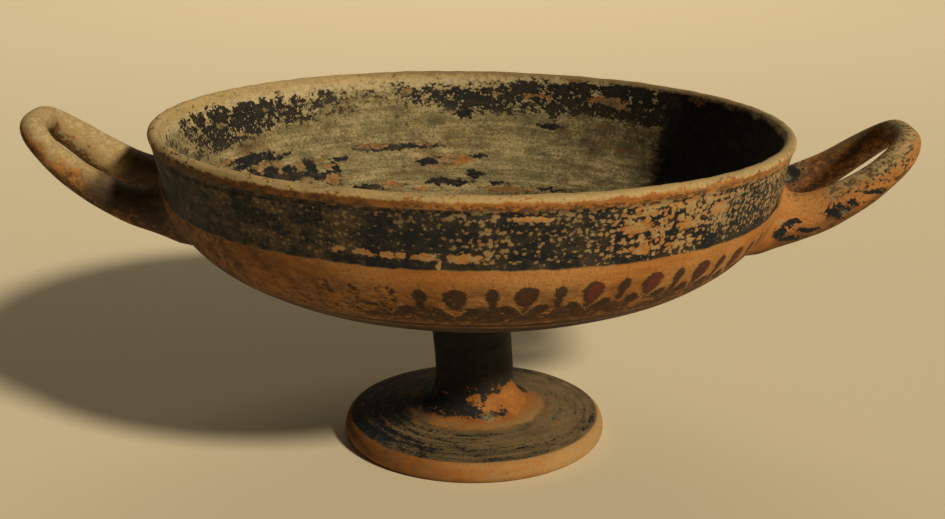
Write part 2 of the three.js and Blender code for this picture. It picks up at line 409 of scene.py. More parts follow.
class CupShape(bpy.types.PropertyGroup):
    """Sizes of the cup."""

    rim_radius: length("Rim radius", 87.5, "Outer radius at the lip")
    shoulder_radius: length("Shoulder radius", 84.0, "Outer radius where the lip ends")
    shoulder_drop: length("Shoulder drop", 17.0, "Height of the flared lip")
    bowl_depth: length("Bowl depth", 50.3, "Height from the stem to the rim")
    lip_thickness: length("Lip thickness", 3.2, "Thickness of the rounded lip")
    wall_thickness: length("Wall thickness", 4.0, "Thickness of the bowl's wall")
    floor_thickness: length("Floor thickness", 5.0, "Thickness of the bowl's floor")
    groove_drop: length("Groove drop", 4.6, "Height of the groove below the rim")
    groove_width: length("Groove width", 1.6, "Width of the groove")
    groove_depth: length("Groove depth", 0.3, "Depth of the groove")
    stem_radius: length("Stem radius", 11.4, "Radius of the stem at its foot")
    stem_top_radius: length("Stem top radius", 12.1, "Radius of the stem at the bowl")
    stem_height: length("Stem height", 34.1, "Height of the stem above the foot")
    stem_wall: length("Stem wall", 5.6, "Thickness of clay round the bore")
    bore_taper: length("Bore taper", 1.8, "How much the bore narrows at its end")
    bore_cover: length("Bore cover", 13.5, "Clay between the bore and the bowl")
    flare_reach: length("Flare reach", 6.6, "How far the stem flares onto the foot")
    flare_height: length("Flare height", 9.0, "Height at which the flare begins")
    foot_radius: length("Foot radius", 38.2, "Widest radius of the foot")
    foot_arris_radius: length("Foot arris radius", 36.1, "Radius of the foot's upper edge")
    foot_base_radius: length("Foot base radius", 36.4, "Radius of the resting ring")
    foot_swell_height: length("Foot swell height", 1.9, "Height of the foot's widest line")
    foot_edge_height: length("Foot edge height", 5.8, "Height of the foot's upper edge")
    foot_rise: length("Foot rise", 3.1, "How much the foot's top rises to the stem")
    foot_wall: length("Foot wall", 4.6, "Thickness of the foot over its hollow")
    resting_width: length("Resting ring width", 6.0, "Width of the ring that it rests on")
    right_reach: length("Right reach", 31.6, "How far the right handle passes the rim")
    left_reach: length("Left reach", 32.6, "How far the left handle passes the rim")
    root_half_span: length("Root half span", 13.8, "Half the distance between the roots")
    right_half_span: length("Right half span", 17.6, "Half the right handle's width")
    left_half_span: length("Left half span", 15.8, "Half the left handle's width")
    handle_root_drop: length("Handle root drop", 24.6, "Height of the roots below the rim")
    right_tip_drop: length("Right tip drop", 3.1, "Height of the right tip below the rim")
    left_tip_drop: length("Left tip drop", 2.6, "Height of the left tip below the rim")
    handle_tip_radius: length("Handle tip radius", 3.7, "Radius of the handles at the tip")
    handle_root_radius: length("Handle root radius", 6.9, "Radius of the handles at the wall")
    root_flare: length("Root flare", 1.4, "Extra radius where a handle meets the wall")
    root_flare_length: length("Root flare length", 5.0, "Length over which the flare fades")
    joint_fillet: length("Joint fillet", 8.0, "Width of the smoothed clay at the joints")


class CupFinish(bpy.types.PropertyGroup):
    """Colours of the cup."""

    clay: colour("Clay", 0.46, 0.20, 0.050, "Reserved clay")
    clay_dark: colour("Dark clay", 0.30, 0.112, 0.028, "Deeper tone of the clay")
    clay_pale: colour("Pale clay", 0.56, 0.33, 0.13, "Dusty tone of the clay")
    gloss: colour("Gloss", 0.0120, 0.0152, 0.0195, "Black painted gloss")
    gloss_thin: colour("Thin gloss", 0.029, 0.0270, 0.023, "Gloss where it is thin")
    rubbed: colour("Rubbed gloss", 0.096, 0.065, 0.037, "Gloss rubbed down over the clay")
    ink: colour("Frieze black", 0.024, 0.018, 0.016, "Thin black of the frieze")
    red: colour("Red", 0.135, 0.032, 0.022, "Added red in the frieze")
    stain: colour("Stain", 0.078, 0.040, 0.022, "Brown stain on the clay")
    cream: colour("Cream", 0.56, 0.47, 0.29, "Pale deposit inside the rim")
    lip_cream: colour("Lip cream", 0.52, 0.39, 0.20, "Pale deposit on the lip")
    deposit: colour("Deposit", 0.30, 0.255, 0.14, "Tan deposit")
    deposit_green: colour("Green deposit", 0.20, 0.19, 0.095, "Greenish deposit")
    deposit_dark: colour("Dark deposit", 0.085, 0.075, 0.050, "Thin deposit over the gloss")
    deposit_grey: colour("Grey deposit", 0.32, 0.285, 0.175, "Grey crust")
    deposit_tan: colour("Tan crust", 0.37, 0.29, 0.15, "Tan crust on handles and bare spots")
    foot_dust: colour("Foot dust", 0.235, 0.17, 0.09, "Worn brown on the foot")


class StudioSettings(bpy.types.PropertyGroup):
    """Light and camera."""

    floor_colour: colour("Floor", 0.80, 0.74, 0.60, "Colour of the plain floor")
    light_colour: colour("Light", 1.0, 0.83, 0.56, "Colour of the lamps")
    key_strength: FloatProperty(
        name="Key strength",
        description="Strength of the main light",
        default=2.95,
        min=0.0,
    )
    key_angle: angle("Key angle", math.radians(6.1), "How wide the main light looks, which softens shadows")
    key_azimuth: angle("Key azimuth", math.radians(-45.0), "Direction of the main light, from +X towards +Y")
    key_elevation: angle("Key elevation", math.radians(34.0), "Height of the main light above the horizon")
    back_power: FloatProperty(
        name="Back power",
        description="Power of the broad lamp above and behind",
        default=6.2,
        min=0.0,
        unit="POWER",
    )
    back_size: length("Back size", 1400.0, "Width of the broad lamp")
    back_place: position("Back place", (0.0, 1.3, 1.1), "Where the broad lamp hangs")
    back_target: position("Back target", (0.0, 1.2, 0.0), "Where the broad lamp points")
    fill_strength: amount("Fill", 0.035, "Brightness of the even light from all round")
    camera_place: position("Camera place", (0.0012, -0.366384, 0.164989), "Where the camera stands")
    camera_view: angle(
        "Camera view",
        2.0 * math.atan(PICTURE_WIDTH / 2.0 / FOCAL_LENGTH),
        "Angle across the picture's width",
    )
    camera_pitch: angle("Camera pitch", 0.298, "How far the camera looks down")
    camera_roll: angle("Camera roll", 0.003, "How far the camera turns about its own line of sight")
    camera_turn: angle("Camera turn", 0.001, "How far the camera turns to the left")


def in_millimetres(group):
    """All lengths of a property group, in millimetres."""
    return SimpleNamespace(**{name: getattr(group, name) / MM for name in group.__annotations__})


def smooth_step(value, low, high):
    """3t^2 - 2t^3, where t is how far the value has come from low to high, held to 0..1."""
    t = np.clip((value - low) / (high - low), 0.0, 1.0)
    return t * t * (3.0 - 2.0 * t)


def bezier(corners, t):
    """Points of a cubic Bezier curve: each corner times its share of t, summed."""
    a, b, c, d = np.asarray(corners, float)
    t = np.asarray(t, float)[:, None]
    s = 1.0 - t
    return s**3 * a + 3.0 * s * s * t * b + 3.0 * s * t * t * c + t**3 * d


def bezier_direction(corners, t):
    """Unit vectors along a cubic Bezier curve: its derivative, over its length."""
    a, b, c, d = np.asarray(corners, float)
    t = np.asarray(t, float)[:, None]
    s = 1.0 - t
    along = s * s * (b - a) + 2.0 * s * t * (c - b) + t * t * (d - c)
    return along / np.linalg.norm(along, axis=1, keepdims=True)


def arc(centre, width, height, first, last, steps):
    """Points of an ellipse, centre + (width cos a, height sin a), from first to last quarter turns."""
    angle = np.linspace(first, last, steps + 1) * math.pi / 2.0
    return np.stack([centre[0] + width * np.cos(angle), centre[1] + height * np.sin(angle)], 1)


def run_lengths(points):
    """How far along a row of joined points each of them lies."""
    steps = np.linalg.norm(np.diff(points, axis=0), axis=1)
    return np.concatenate([[0.0], np.cumsum(steps)])


def heights(cup):
    """Heights that follow from the sizes: the foot's top, the stem's top and the rim."""
    foot_top = cup.foot_edge_height + cup.foot_rise
    stem_top = foot_top + cup.stem_height
    return foot_top, stem_top, stem_top + cup.bowl_depth


def belly_corners(cup):
    """Corners of the Bezier curve of the bowl's outside, from the shoulder down to the stem."""
    _, stem_top, rim = heights(cup)
    drop = cup.bowl_depth - cup.shoulder_drop
    reach = cup.shoulder_radius - cup.stem_top_radius
    shoulder = rim - cup.shoulder_drop
    steep = BELLY_FULLNESS * drop
    return [
        (cup.shoulder_radius, shoulder),
        (cup.shoulder_radius - SHOULDER_SLOPE * steep, shoulder - steep),
        (cup.stem_top_radius + UNDERSIDE_REACH * reach, stem_top + UNDERSIDE_RISE * drop),
        (cup.stem_top_radius, stem_top),
    ]


def lip_radius(cup, drop):
    """The lip's outer radius at a drop below the rim: a straight flare from the shoulder."""
    return cup.rim_radius + (cup.shoulder_radius - cup.rim_radius) * drop / cup.shoulder_drop


def inside_rows(cup, share):
    """The bowl's inside from the middle of the floor up to the shoulder.

    It is the outside moved inwards at right angles by a share of the wall's thickness,
    which grows evenly to the floor's thickness. The middle is a parabola that takes up
    the slope where that curve ends.
    """
    corners = belly_corners(cup)
    t = np.linspace(1.0, 0.0, INSIDE_STEPS + 1)
    place = bezier(corners, t)
    along = bezier_direction(corners, t)
    thick = share * (cup.wall_thickness + (cup.floor_thickness - cup.wall_thickness) * t)
    wall = place + np.stack([along[:, 1], -along[:, 0]], 1) * thick[:, None]
    slope = along[0, 1] / along[0, 0]
    edge = wall[0]
    radius = np.linspace(0.0, edge[0], FLOOR_STEPS + 1)[:-1]
    height = edge[1] - slope * (edge[0] ** 2 - radius**2) / (2.0 * edge[0])
    return np.concatenate([np.stack([radius, height], 1), wall])


def cup_rows(cup):
    """The cup's section as one row of points (radius, height), and where its parts begin.

    It runs from the middle of the floor up the inside, over the lip, down the outside of
    bowl and stem, over the foot, and through the hollow to the top of the bore.
    """
    foot_top, stem_top, rim = heights(cup)
    half = cup.lip_thickness / 2.0
    inside = inside_rows(cup, 1.0)
    lip_inner = np.array([cup.rim_radius - cup.lip_thickness, rim - half])
    straight = inside[-1] + (lip_inner - inside[-1]) * np.linspace(0.0, 1.0, INNER_LIP_POINTS)[:, None]
    lip = arc((cup.rim_radius - half, rim - half), half, half, 2.0, 0.0, LIP_STEPS)
    fine = np.linspace(half, FINE_DROP, GROOVE_POINTS)
    drop = np.concatenate([fine, np.linspace(COARSE_DROP, cup.shoulder_drop, SHOULDER_POINTS)])
    across = np.clip((drop - cup.groove_drop) / (cup.groove_width * GROOVE_SPREAD), -1.0, 1.0)
    groove = cup.groove_depth * np.cos(across * math.pi / 2.0) ** 2
    round_off = (cup.rim_radius - lip_radius(cup, half)) * np.exp(-(drop - half) / LIP_FADE)
    outside = np.stack([lip_radius(cup, drop) + round_off - groove, rim - drop], 1)
    belly = bezier(belly_corners(cup), np.linspace(0.0, 1.0, BELLY_POINTS))
    waist = cup.stem_radius + STEM_WAIST_TAPER * (cup.stem_top_radius - cup.stem_radius)
    down = np.linspace(0.0, 1.0, STEM_POINTS)
    bow = (cup.stem_top_radius + cup.stem_radius) / 2.0 - waist
    stem_radius = cup.stem_top_radius + (cup.stem_radius - cup.stem_top_radius) * down
    stem_radius = stem_radius - bow * 4.0 * down * (1.0 - down)
    flare_top = foot_top + cup.flare_height
    stem = np.stack([stem_radius, stem_top + (flare_top - stem_top) * down], 1)
    flare_centre = (cup.stem_radius + cup.flare_reach, flare_top)
    flare = arc(flare_centre, cup.flare_reach, cup.flare_height, 2.0, 3.0, FLARE_STEPS)
    arris = np.array([cup.foot_arris_radius, cup.foot_edge_height])
    top = flare[-1] + (arris - flare[-1]) * np.linspace(0.0, 1.0, FOOT_TOP_POINTS)[:, None]
    swell = cup.foot_swell_height
    above = cup.foot_edge_height - swell
    out = cup.foot_radius - cup.foot_arris_radius
    upper = arc((cup.foot_arris_radius, swell), out, above, 1.0, 0.0, UPPER_EDGE_STEPS)
    out = cup.foot_radius - cup.foot_base_radius
    lower = arc((cup.foot_base_radius, swell), out, swell, 0.0, -1.0, LOWER_EDGE_STEPS)
    ring = cup.foot_base_radius - cup.resting_width
    level = np.linspace(cup.foot_base_radius, ring, RESTING_POINTS)
    resting = np.stack([level, np.zeros(RESTING_POINTS)], 1)
    bore = cup.stem_radius - cup.stem_wall
    ceiling = foot_top - cup.foot_wall
    corners = [
        (ring, 0.0),
        (HOLLOW_FULLNESS * ring, ceiling),
        (HOLLOW_NECK * bore, HOLLOW_MOUTH_RISE * ceiling),
        (bore, foot_top + HOLLOW_MOUTH_RISE * cup.flare_height),
    ]
    hollow = bezier(corners, np.linspace(0.0, 1.0, HOLLOW_POINTS))
    bore_top = stem_top + cup.floor_thickness - cup.bore_cover
    end = arc((0.0, bore_top - bore), bore - cup.bore_taper, bore, 0.0, 1.0, BORE_STEPS)
    end[-1, 0] = 0.0
    parts = {
        "inside": inside[:-1],
        "inner_lip": straight[:-1],
        "lip": lip[:-1],
        "outside": outside[:-1],
        "belly": belly[:-1],
        "stem": stem[:-1],
        "flare": flare[:-1],
        "foot_top": top[:-1],
        "foot_edge": np.concatenate([upper[:-1], lower[:-1]]),
        "resting": resting[:-1],
        "hollow": hollow,
        "bore_end": end,
    }
    rows = np.concatenate(list(parts.values()))
    counts = np.cumsum([0] + [len(part) for part in parts.values()])
    crest = counts[list(parts).index("lip")] + LIP_STEPS // 2
    travelled = run_lengths(rows)
    travelled -= travelled[crest]
    marks = {name: float(travelled[count]) for name, count in zip(parts, counts)}
    return rows, travelled, marks


def closed_grid(rings, start, end):
    """A closed surface through rings of points, as points and faces, with a fan at each end."""
    count, around = rings.shape[:2]
    row = np.arange(count - 1)[:, None] * around
    here = np.arange(around)
    after = (here + 1) % around
    quads = np.stack([row + here, row + around + here, row + around + after, row + after], -1)
    final = (count - 1) * around
    pole = np.full(around, count * around)
    first = np.stack([pole, here, after], 1)
    last = np.stack([pole + 1, final + after, final + here], 1)
    points = np.concatenate([rings.reshape(-1, 3), [start, end]])
    return points, quads.reshape(-1, 4).tolist() + first.tolist() + last.tolist()


def lathe(rows):
    """A surface of revolution: (r cos a, r sin a, z) for each row and each of the angles a.

    The first and last rows lie on the axis and close with fans.
    """
    turn = 2.0 * math.pi * np.arange(AROUND) / AROUND
    radius = rows[1:-1, :1]
    height = np.repeat(rows[1:-1, 1:], AROUND, axis=1)
    rings = np.stack([radius * np.cos(turn), radius * np.sin(turn), height], -1)
    return closed_grid(rings, (0.0, 0.0, rows[0, 1]), (0.0, 0.0, rows[-1, 1]))


def tube(centres, radii):
    """A closed tube: round each centre, r cos a across plus r sin a upwards, with fans at its ends."""
    before = centres[np.maximum(np.arange(len(centres)) - 1, 0)]
    ahead = centres[np.minimum(np.arange(len(centres)) + 1, len(centres) - 1)]
    _, across, up = section_axes(ahead - before)
    turn = (2.0 * math.pi * np.arange(HANDLE_AROUND) / HANDLE_AROUND)[None, :, None]
    ring = across[:, None, :] * np.cos(turn) + up[:, None, :] * np.sin(turn)
    rings = centres[:, None, :] + radii[:, None, None] * ring
    return closed_grid(rings, centres[0], centres[-1])


def section_axes(direction):
    """Unit vectors along a path, level across it, and at right angles to both, upwards."""
    along = direction / np.linalg.norm(direction, axis=-1, keepdims=True)
    across = np.cross(along, np.array([0.0, 0.0, 1.0]))
    across = across / np.linalg.norm(across, axis=-1, keepdims=True)
    return along, across, np.cross(across, along)


def wall_radius(cup, height):
    """Outer radius of the bowl at a height, read off its section."""
    rows = bezier(belly_corners(cup), np.linspace(1.0, 0.0, 400))
    _, _, rim = heights(cup)
    shoulder = rim - cup.shoulder_drop
    lip = lip_radius(cup, rim - height)
    return np.where(height >= shoulder, lip, np.interp(height, rows[:, 1], rows[:, 0]))


def handle_path(cup, side):
    """Centres and radii along one handle, at even steps.

    Seen from above it is half a superellipse: out = |cos a|^(2/n) and across = |sin a|^(2/n).
    It climbs with a mix of out and out squared. Its radius falls evenly from root to tip,
    with a flare at the wall that fades with distance.
    """
    right = side > 0
    reach = cup.right_reach if right else cup.left_reach
    tip_drop = cup.right_tip_drop if right else cup.left_tip_drop
    tip_span = cup.right_half_span if right else cup.left_half_span
    _, _, rim = heights(cup)
    root_height = rim - cup.handle_root_drop
    root = float(wall_radius(cup, root_height)) - ROOT_SINK * cup.wall_thickness
    tip = cup.rim_radius + reach
    angle = np.linspace(-0.5, 0.5, 4001) * math.pi
    power = 2.0 / HANDLE_SQUARENESS
    out = np.abs(np.cos(angle)) ** power
    across = np.sign(angle) * np.abs(np.sin(angle)) ** power
    span = cup.root_half_span + (tip_span - cup.root_half_span) * out
    climb = (1.0 - HANDLE_CURVE) * out + HANDLE_CURVE * out * out
    rise = cup.handle_root_drop - tip_drop
    dense = np.stack([side * (root + (tip - root) * out), span * across, root_height + rise * climb], 1)
    travelled = run_lengths(dense)
    even = np.linspace(0.0, travelled[-1], HANDLE_STEPS + 1)
    centres = np.stack([np.interp(even, travelled, dense[:, axis]) for axis in range(3)], 1)
    outward = np.maximum(np.abs(centres[:, 0]) - root, 0.0)
    share = outward / (tip - root)
    uneven = 0.0 if right else LEFT_UNEVEN
    leg = 1.0 + uneven * centres[:, 1] / tip_span
    radii = leg * (cup.handle_root_radius + (cup.handle_tip_radius - cup.handle_root_radius) * share)
    radii = radii + cup.root_flare * np.exp(-outward / cup.root_flare_length)
    return centres, radii


def nearest_on_line(points, line):
    """For each point, the nearest place on a row of joined points: how many steps along, and where."""
    start = line[:-1]
    step = line[1:] - start
    size = np.maximum((step**2).sum(1), 1e-12)
    place = np.empty(len(points))
    for part in np.array_split(np.arange(len(points)), max(1, len(points) // 6000)):
        offset = points[part][:, None, :] - start[None]
        share = np.clip((offset * step).sum(-1) / size, 0.0, 1.0)
        distance = ((offset - share[..., None] * step) ** 2).sum(-1)
        best = distance.argmin(1)
        place[part] = best + share[np.arange(len(part)), best]
    index = np.minimum(place.astype(int), len(line) - 2)
    foot = line[index] + (place - index)[:, None] * (line[index + 1] - line[index])
    return place, foot


def off_the_wall(points, outer):
    """Signed distance to the bowl's outside, and the outward unit vector there.

    It is worked out in the section, from radius and height, and turned back to three directions.
    """
    radius = np.maximum(np.hypot(points[:, 0], points[:, 1]), 1e-6)
    flat = np.stack([radius, points[:, 2]], 1)
    place, foot = nearest_on_line(flat, outer)
    index = np.minimum(place.astype(int), len(outer) - 2)
    along = outer[index + 1] - outer[index]
    along = along / np.linalg.norm(along, axis=1, keepdims=True)
    outward = np.stack([-along[:, 1], along[:, 0]], 1)
    distance = ((flat - foot) * outward).sum(1)
    ray = points[:, :2] / radius[:, None]
    return distance, np.concatenate([ray * outward[:, :1], outward[:, 1:]], 1)


def off_the_handle(points, centres, radii):
    """Distance to a handle's round surface, the outward unit vector, and the step along its path."""
    place, foot = nearest_on_line(points, centres)
    offset = points - foot
    size = np.maximum(np.linalg.norm(offset, axis=1), 1e-6)
    return size - np.interp(place, np.arange(len(radii)), radii), offset / size[:, None], place


def round_joints(points, edges, outer, path, width):
    """Rounds the inside corner between a handle and the wall.

    Points near the joint are pulled to the mean of their neighbours, and put back each time
    on the blend of both surfaces, where the smaller distance is lowered by (width - gap)^2 / 4 width.
    """
    wall, _ = off_the_wall(points, outer)
    handle, _, _ = off_the_handle(points, *path)
    far = np.maximum(np.abs(wall), np.abs(handle))
    zone = np.flatnonzero((far < JOINT_REACH) & (wall > -JOINT_DEPTH) & (handle > -JOINT_DEPTH))
    weight = smooth_step(-far[zone], -JOINT_REACH, -0.55 * JOINT_REACH)[:, None]
    mark = np.full(len(points), -1)
    mark[zone] = np.arange(len(zone))
    both = np.concatenate([edges, edges[:, ::-1]])
    both = both[mark[both[:, 0]] >= 0]
    into = mark[both[:, 0]]
    count = np.maximum(np.bincount(into, minlength=len(zone)), 1)[:, None]
    for _ in range(JOINT_ROUNDS):
        around = points[both[:, 1]]
        mean = np.stack([np.bincount(into, around[:, axis], len(zone)) for axis in range(3)], 1) / count
        moved = points[zone] + JOINT_PULL * weight * (mean - points[zone])
        for _ in range(2):
            wall, wall_out = off_the_wall(moved, outer)
            handle, handle_out, _ = off_the_handle(moved, *path)
            lean = np.clip((handle - wall) / width, -1.0, 1.0)
            share = 0.5 + 0.5 * lean
            blend = np.minimum(wall, handle) - (1.0 - np.abs(lean)) ** 2 * width / 4.0
            out = wall_out * share[:, None] + handle_out * (1.0 - share)[:, None]
            size = np.maximum(np.linalg.norm(out, axis=1, keepdims=True), 0.3)
            moved = moved - np.clip(blend, -JOINT_DEPTH, JOINT_DEPTH)[:, None] * out / size**2
        points[zone] = moved
    return points


def ripple(points, depth, wavelength, seed):
    """Smooth unevenness of about a depth: the mean of sine waves in random directions."""
    random = np.random.default_rng(seed)
    ways = random.normal(size=(14, 3))
    ways /= np.linalg.norm(ways, axis=1, keepdims=True)
    ways *= 2.0 * math.pi / (wavelength * random.uniform(0.7, 1.4, (14, 1)))
    phase = random.uniform(0.0, 2.0 * math.pi, 14)
    return depth * 1.6 * np.sin(points @ ways.T + phase).mean(1)


def settle(points, cup):
    """Sets bowl and handles leaning and slightly oval above the foot, and shifts the foot."""
    foot_top, stem_top, rim = heights(cup)
    x, y, z = points.T
    bowl = smooth_step(z, foot_top + cup.flare_height, stem_top)
    high = np.clip((z - stem_top) / cup.bowl_depth, 0.0, 1.0)
    radius = np.maximum(np.hypot(x, y), 1.0)
    oval = RIM_OVAL * high * np.minimum(radius, cup.rim_radius) / (cup.rim_radius * radius)
    tilt = BOWL_LEAN * (z - rim)
    shift = FOOT_SHIFT * (1.0 - bowl) + (BOWL_SHIFT + tilt) * bowl
    return np.stack([x * (1.0 + oval) + shift, y * (1.0 - oval), z - bowl * BOWL_LEAN * x], 1)


def add_to_scene(name, data):
    """A new object in the scene, for a mesh, a lamp or a camera."""
    made = bpy.data.objects.new(name, data)
    bpy.context.scene.collection.objects.link(made)
    return made


def new_piece(name, points, faces):
    """An object in the scene with a mesh of these points, in millimetres, and faces."""
    mesh = bpy.data.meshes.new(name)
    mesh.from_pydata((points * MM).tolist(), [], faces)
    return add_to_scene(name, mesh)


def combine(piece, other, operation):
    """Joins another closed mesh to a piece, or cuts it away, and removes the other object."""
    modifier = piece.modifiers.new("combine", "BOOLEAN")
    modifier.object = other
    modifier.operation = operation
    modifier.solver = "MANIFOLD"
    bpy.context.view_layer.update()
    evaluated = piece.evaluated_get(bpy.context.evaluated_depsgraph_get())
    mesh = bpy.data.meshes.new_from_object(evaluated)
    piece.modifiers.clear()
    piece.data = mesh
    bpy.data.objects.remove(other)


def read_array(source, name, width, kind=np.float32):
    """One property of all of a mesh's points or edges, as rows of some width."""
    flat = np.empty(len(source) * width, kind)
    source.foreach_get(name, flat)
    return flat.reshape(-1, width)


def write_points(mesh, points):
    """Puts points in millimetres back into the mesh."""
    mesh.vertices.foreach_set("co", (points * MM).astype(np.float32).ravel())
    mesh.update()


def tidy_mesh(mesh):
    """Merges points that coincide and cuts faces of more than four corners into triangles."""
    work = bmesh.new()
    work.from_mesh(mesh)
    bmesh.ops.remove_doubles(work, verts=work.verts, dist=0.03 * MM)
    bmesh.ops.triangulate(work, faces=[face for face in work.faces if len(face.verts) > 4])
    work.to_mesh(mesh)
    work.free()


def write_field(mesh, name, values):
    """Stores a number or a vector for each point, which the material reads."""
    vector = values.ndim == 2
    field = mesh.attributes.new(name, "FLOAT_VECTOR" if vector else "FLOAT", "POINT")
    field.data.foreach_set("vector" if vector else "value", values.astype(np.float32).ravel())


def raw_cup(cup, rows, paths):
    """The lathed body with both handles joined to it, and each handle cut off inside the wall."""
    piece = new_piece("kylix_cup", *lathe(rows))
    _, _, rim = heights(cup)
    neck = cup.rim_radius - cup.lip_thickness / 2.0
    above = rim + cup.lip_thickness
    top = np.array([[neck, rim], [neck, above], [0.0, above]])
    trim_rows = np.concatenate([inside_rows(cup, 0.5), top])[::-1]
    for side, (centres, radii) in zip((1.0, -1.0), paths):
        sunk = np.array([side * ROOT_TRIM * cup.wall_thickness, 0.0, 0.0])
        longer = np.concatenate([centres[:1] - sunk, centres, centres[-1:] - sunk])
        thicker = np.concatenate([radii[:1], radii, radii[-1:]])
        handle = new_piece("handle", *tube(longer, thicker))
        combine(handle, new_piece("trim", *lathe(trim_rows)), "DIFFERENCE")
        combine(piece, handle, "UNION")
    tidy_mesh(piece.data)
    return piece


def handle_fields(points, radius, paths):
    """For each point, its place on the nearer handle's path and section, and its distance off it."""
    right = points[:, 0] > 0.0
    grip = np.zeros((len(points), 3))
    off_handle = np.full(len(points), FAR_OFF)
    for chosen, path in zip((right, ~right), paths):
        index = np.flatnonzero(chosen & (points[:, 2] > GRIP_HEIGHT) & (radius > GRIP_RADIUS))
        distance, out, step = off_the_handle(points[index], *path)
        low = np.clip(step.astype(int), 0, HANDLE_STEPS - 1)
        _, across, up = section_axes(path[0][low + 1] - path[0][low])
        sideways = (out * across).sum(1) * np.where(right[index], 1.0, -1.0)
        grip[index] = np.stack([step / HANDLE_STEPS, (out * up).sum(1), sideways], 1)
        off_handle[index] = distance
    return grip, off_handle


def hand_relief(points, radius, along, off_wall):
    """How far each point is moved outwards, so that the cup looks made by hand."""
    on_body = 1.0 - smooth_step(off_wall, 0.2, 3.0)
    near_lip = np.exp(-((along / LIP_REACH) ** 2)) * on_body
    relief = ripple(points, *BODY_RELIEF) * (0.4 + 0.6 * smooth_step(radius, 12.0, 40.0))
    relief += near_lip * (ripple(points, *LIP_RELIEF) + ripple(points, *LIP_NICKS))
    relief += (1.0 - on_body) * ripple(points, *HANDLE_RELIEF)
    return relief * smooth_step(points[:, 2], 0.3, 2.5)


def make_cup(cup):
    """The whole cup as one closed mesh, with the fields that its paint reads."""
    rows, travelled, marks = cup_rows(cup)
    lip_index = int(np.argmin(np.abs(travelled)))
    stem_index = int(np.argmin(np.abs(travelled - marks["stem"])))
    outer = rows[lip_index : stem_index + 1]
    paths = [handle_path(cup, 1.0), handle_path(cup, -1.0)]
    piece = raw_cup(cup, rows, paths)
    mesh = piece.data
    points = read_array(mesh.vertices, "co", 3).astype(float) / MM
    edges = read_array(mesh.edges, "vertices", 2, np.int32)
    for path in paths:
        points = round_joints(points, edges, outer, path, cup.joint_fillet)
    write_points(mesh, points)

    radius = np.hypot(points[:, 0], points[:, 1])
    section = np.stack([radius, points[:, 2]], 1)
    place, foot = nearest_on_line(section, rows)
    along = np.interp(place, np.arange(len(rows)), travelled)
    off_wall = np.linalg.norm(section - foot, axis=1)
    grip, off_handle = handle_fields(points, radius, paths)
    normals = read_array(mesh.vertex_normals, "vector", 3).astype(float)
    relief = hand_relief(points, radius, along, off_wall)
    write_points(mesh, settle(points + normals * relief[:, None], cup))
    write_field(mesh, "place", points)
    write_field(mesh, "along", along)
    write_field(mesh, "off_wall", off_wall)
    write_field(mesh, "off_handle", off_handle)
    write_field(mesh, "grip", grip)
    mesh.polygons.foreach_set("use_smooth", np.ones(len(mesh.polygons), bool))
    mesh.update()
    return piece, marks


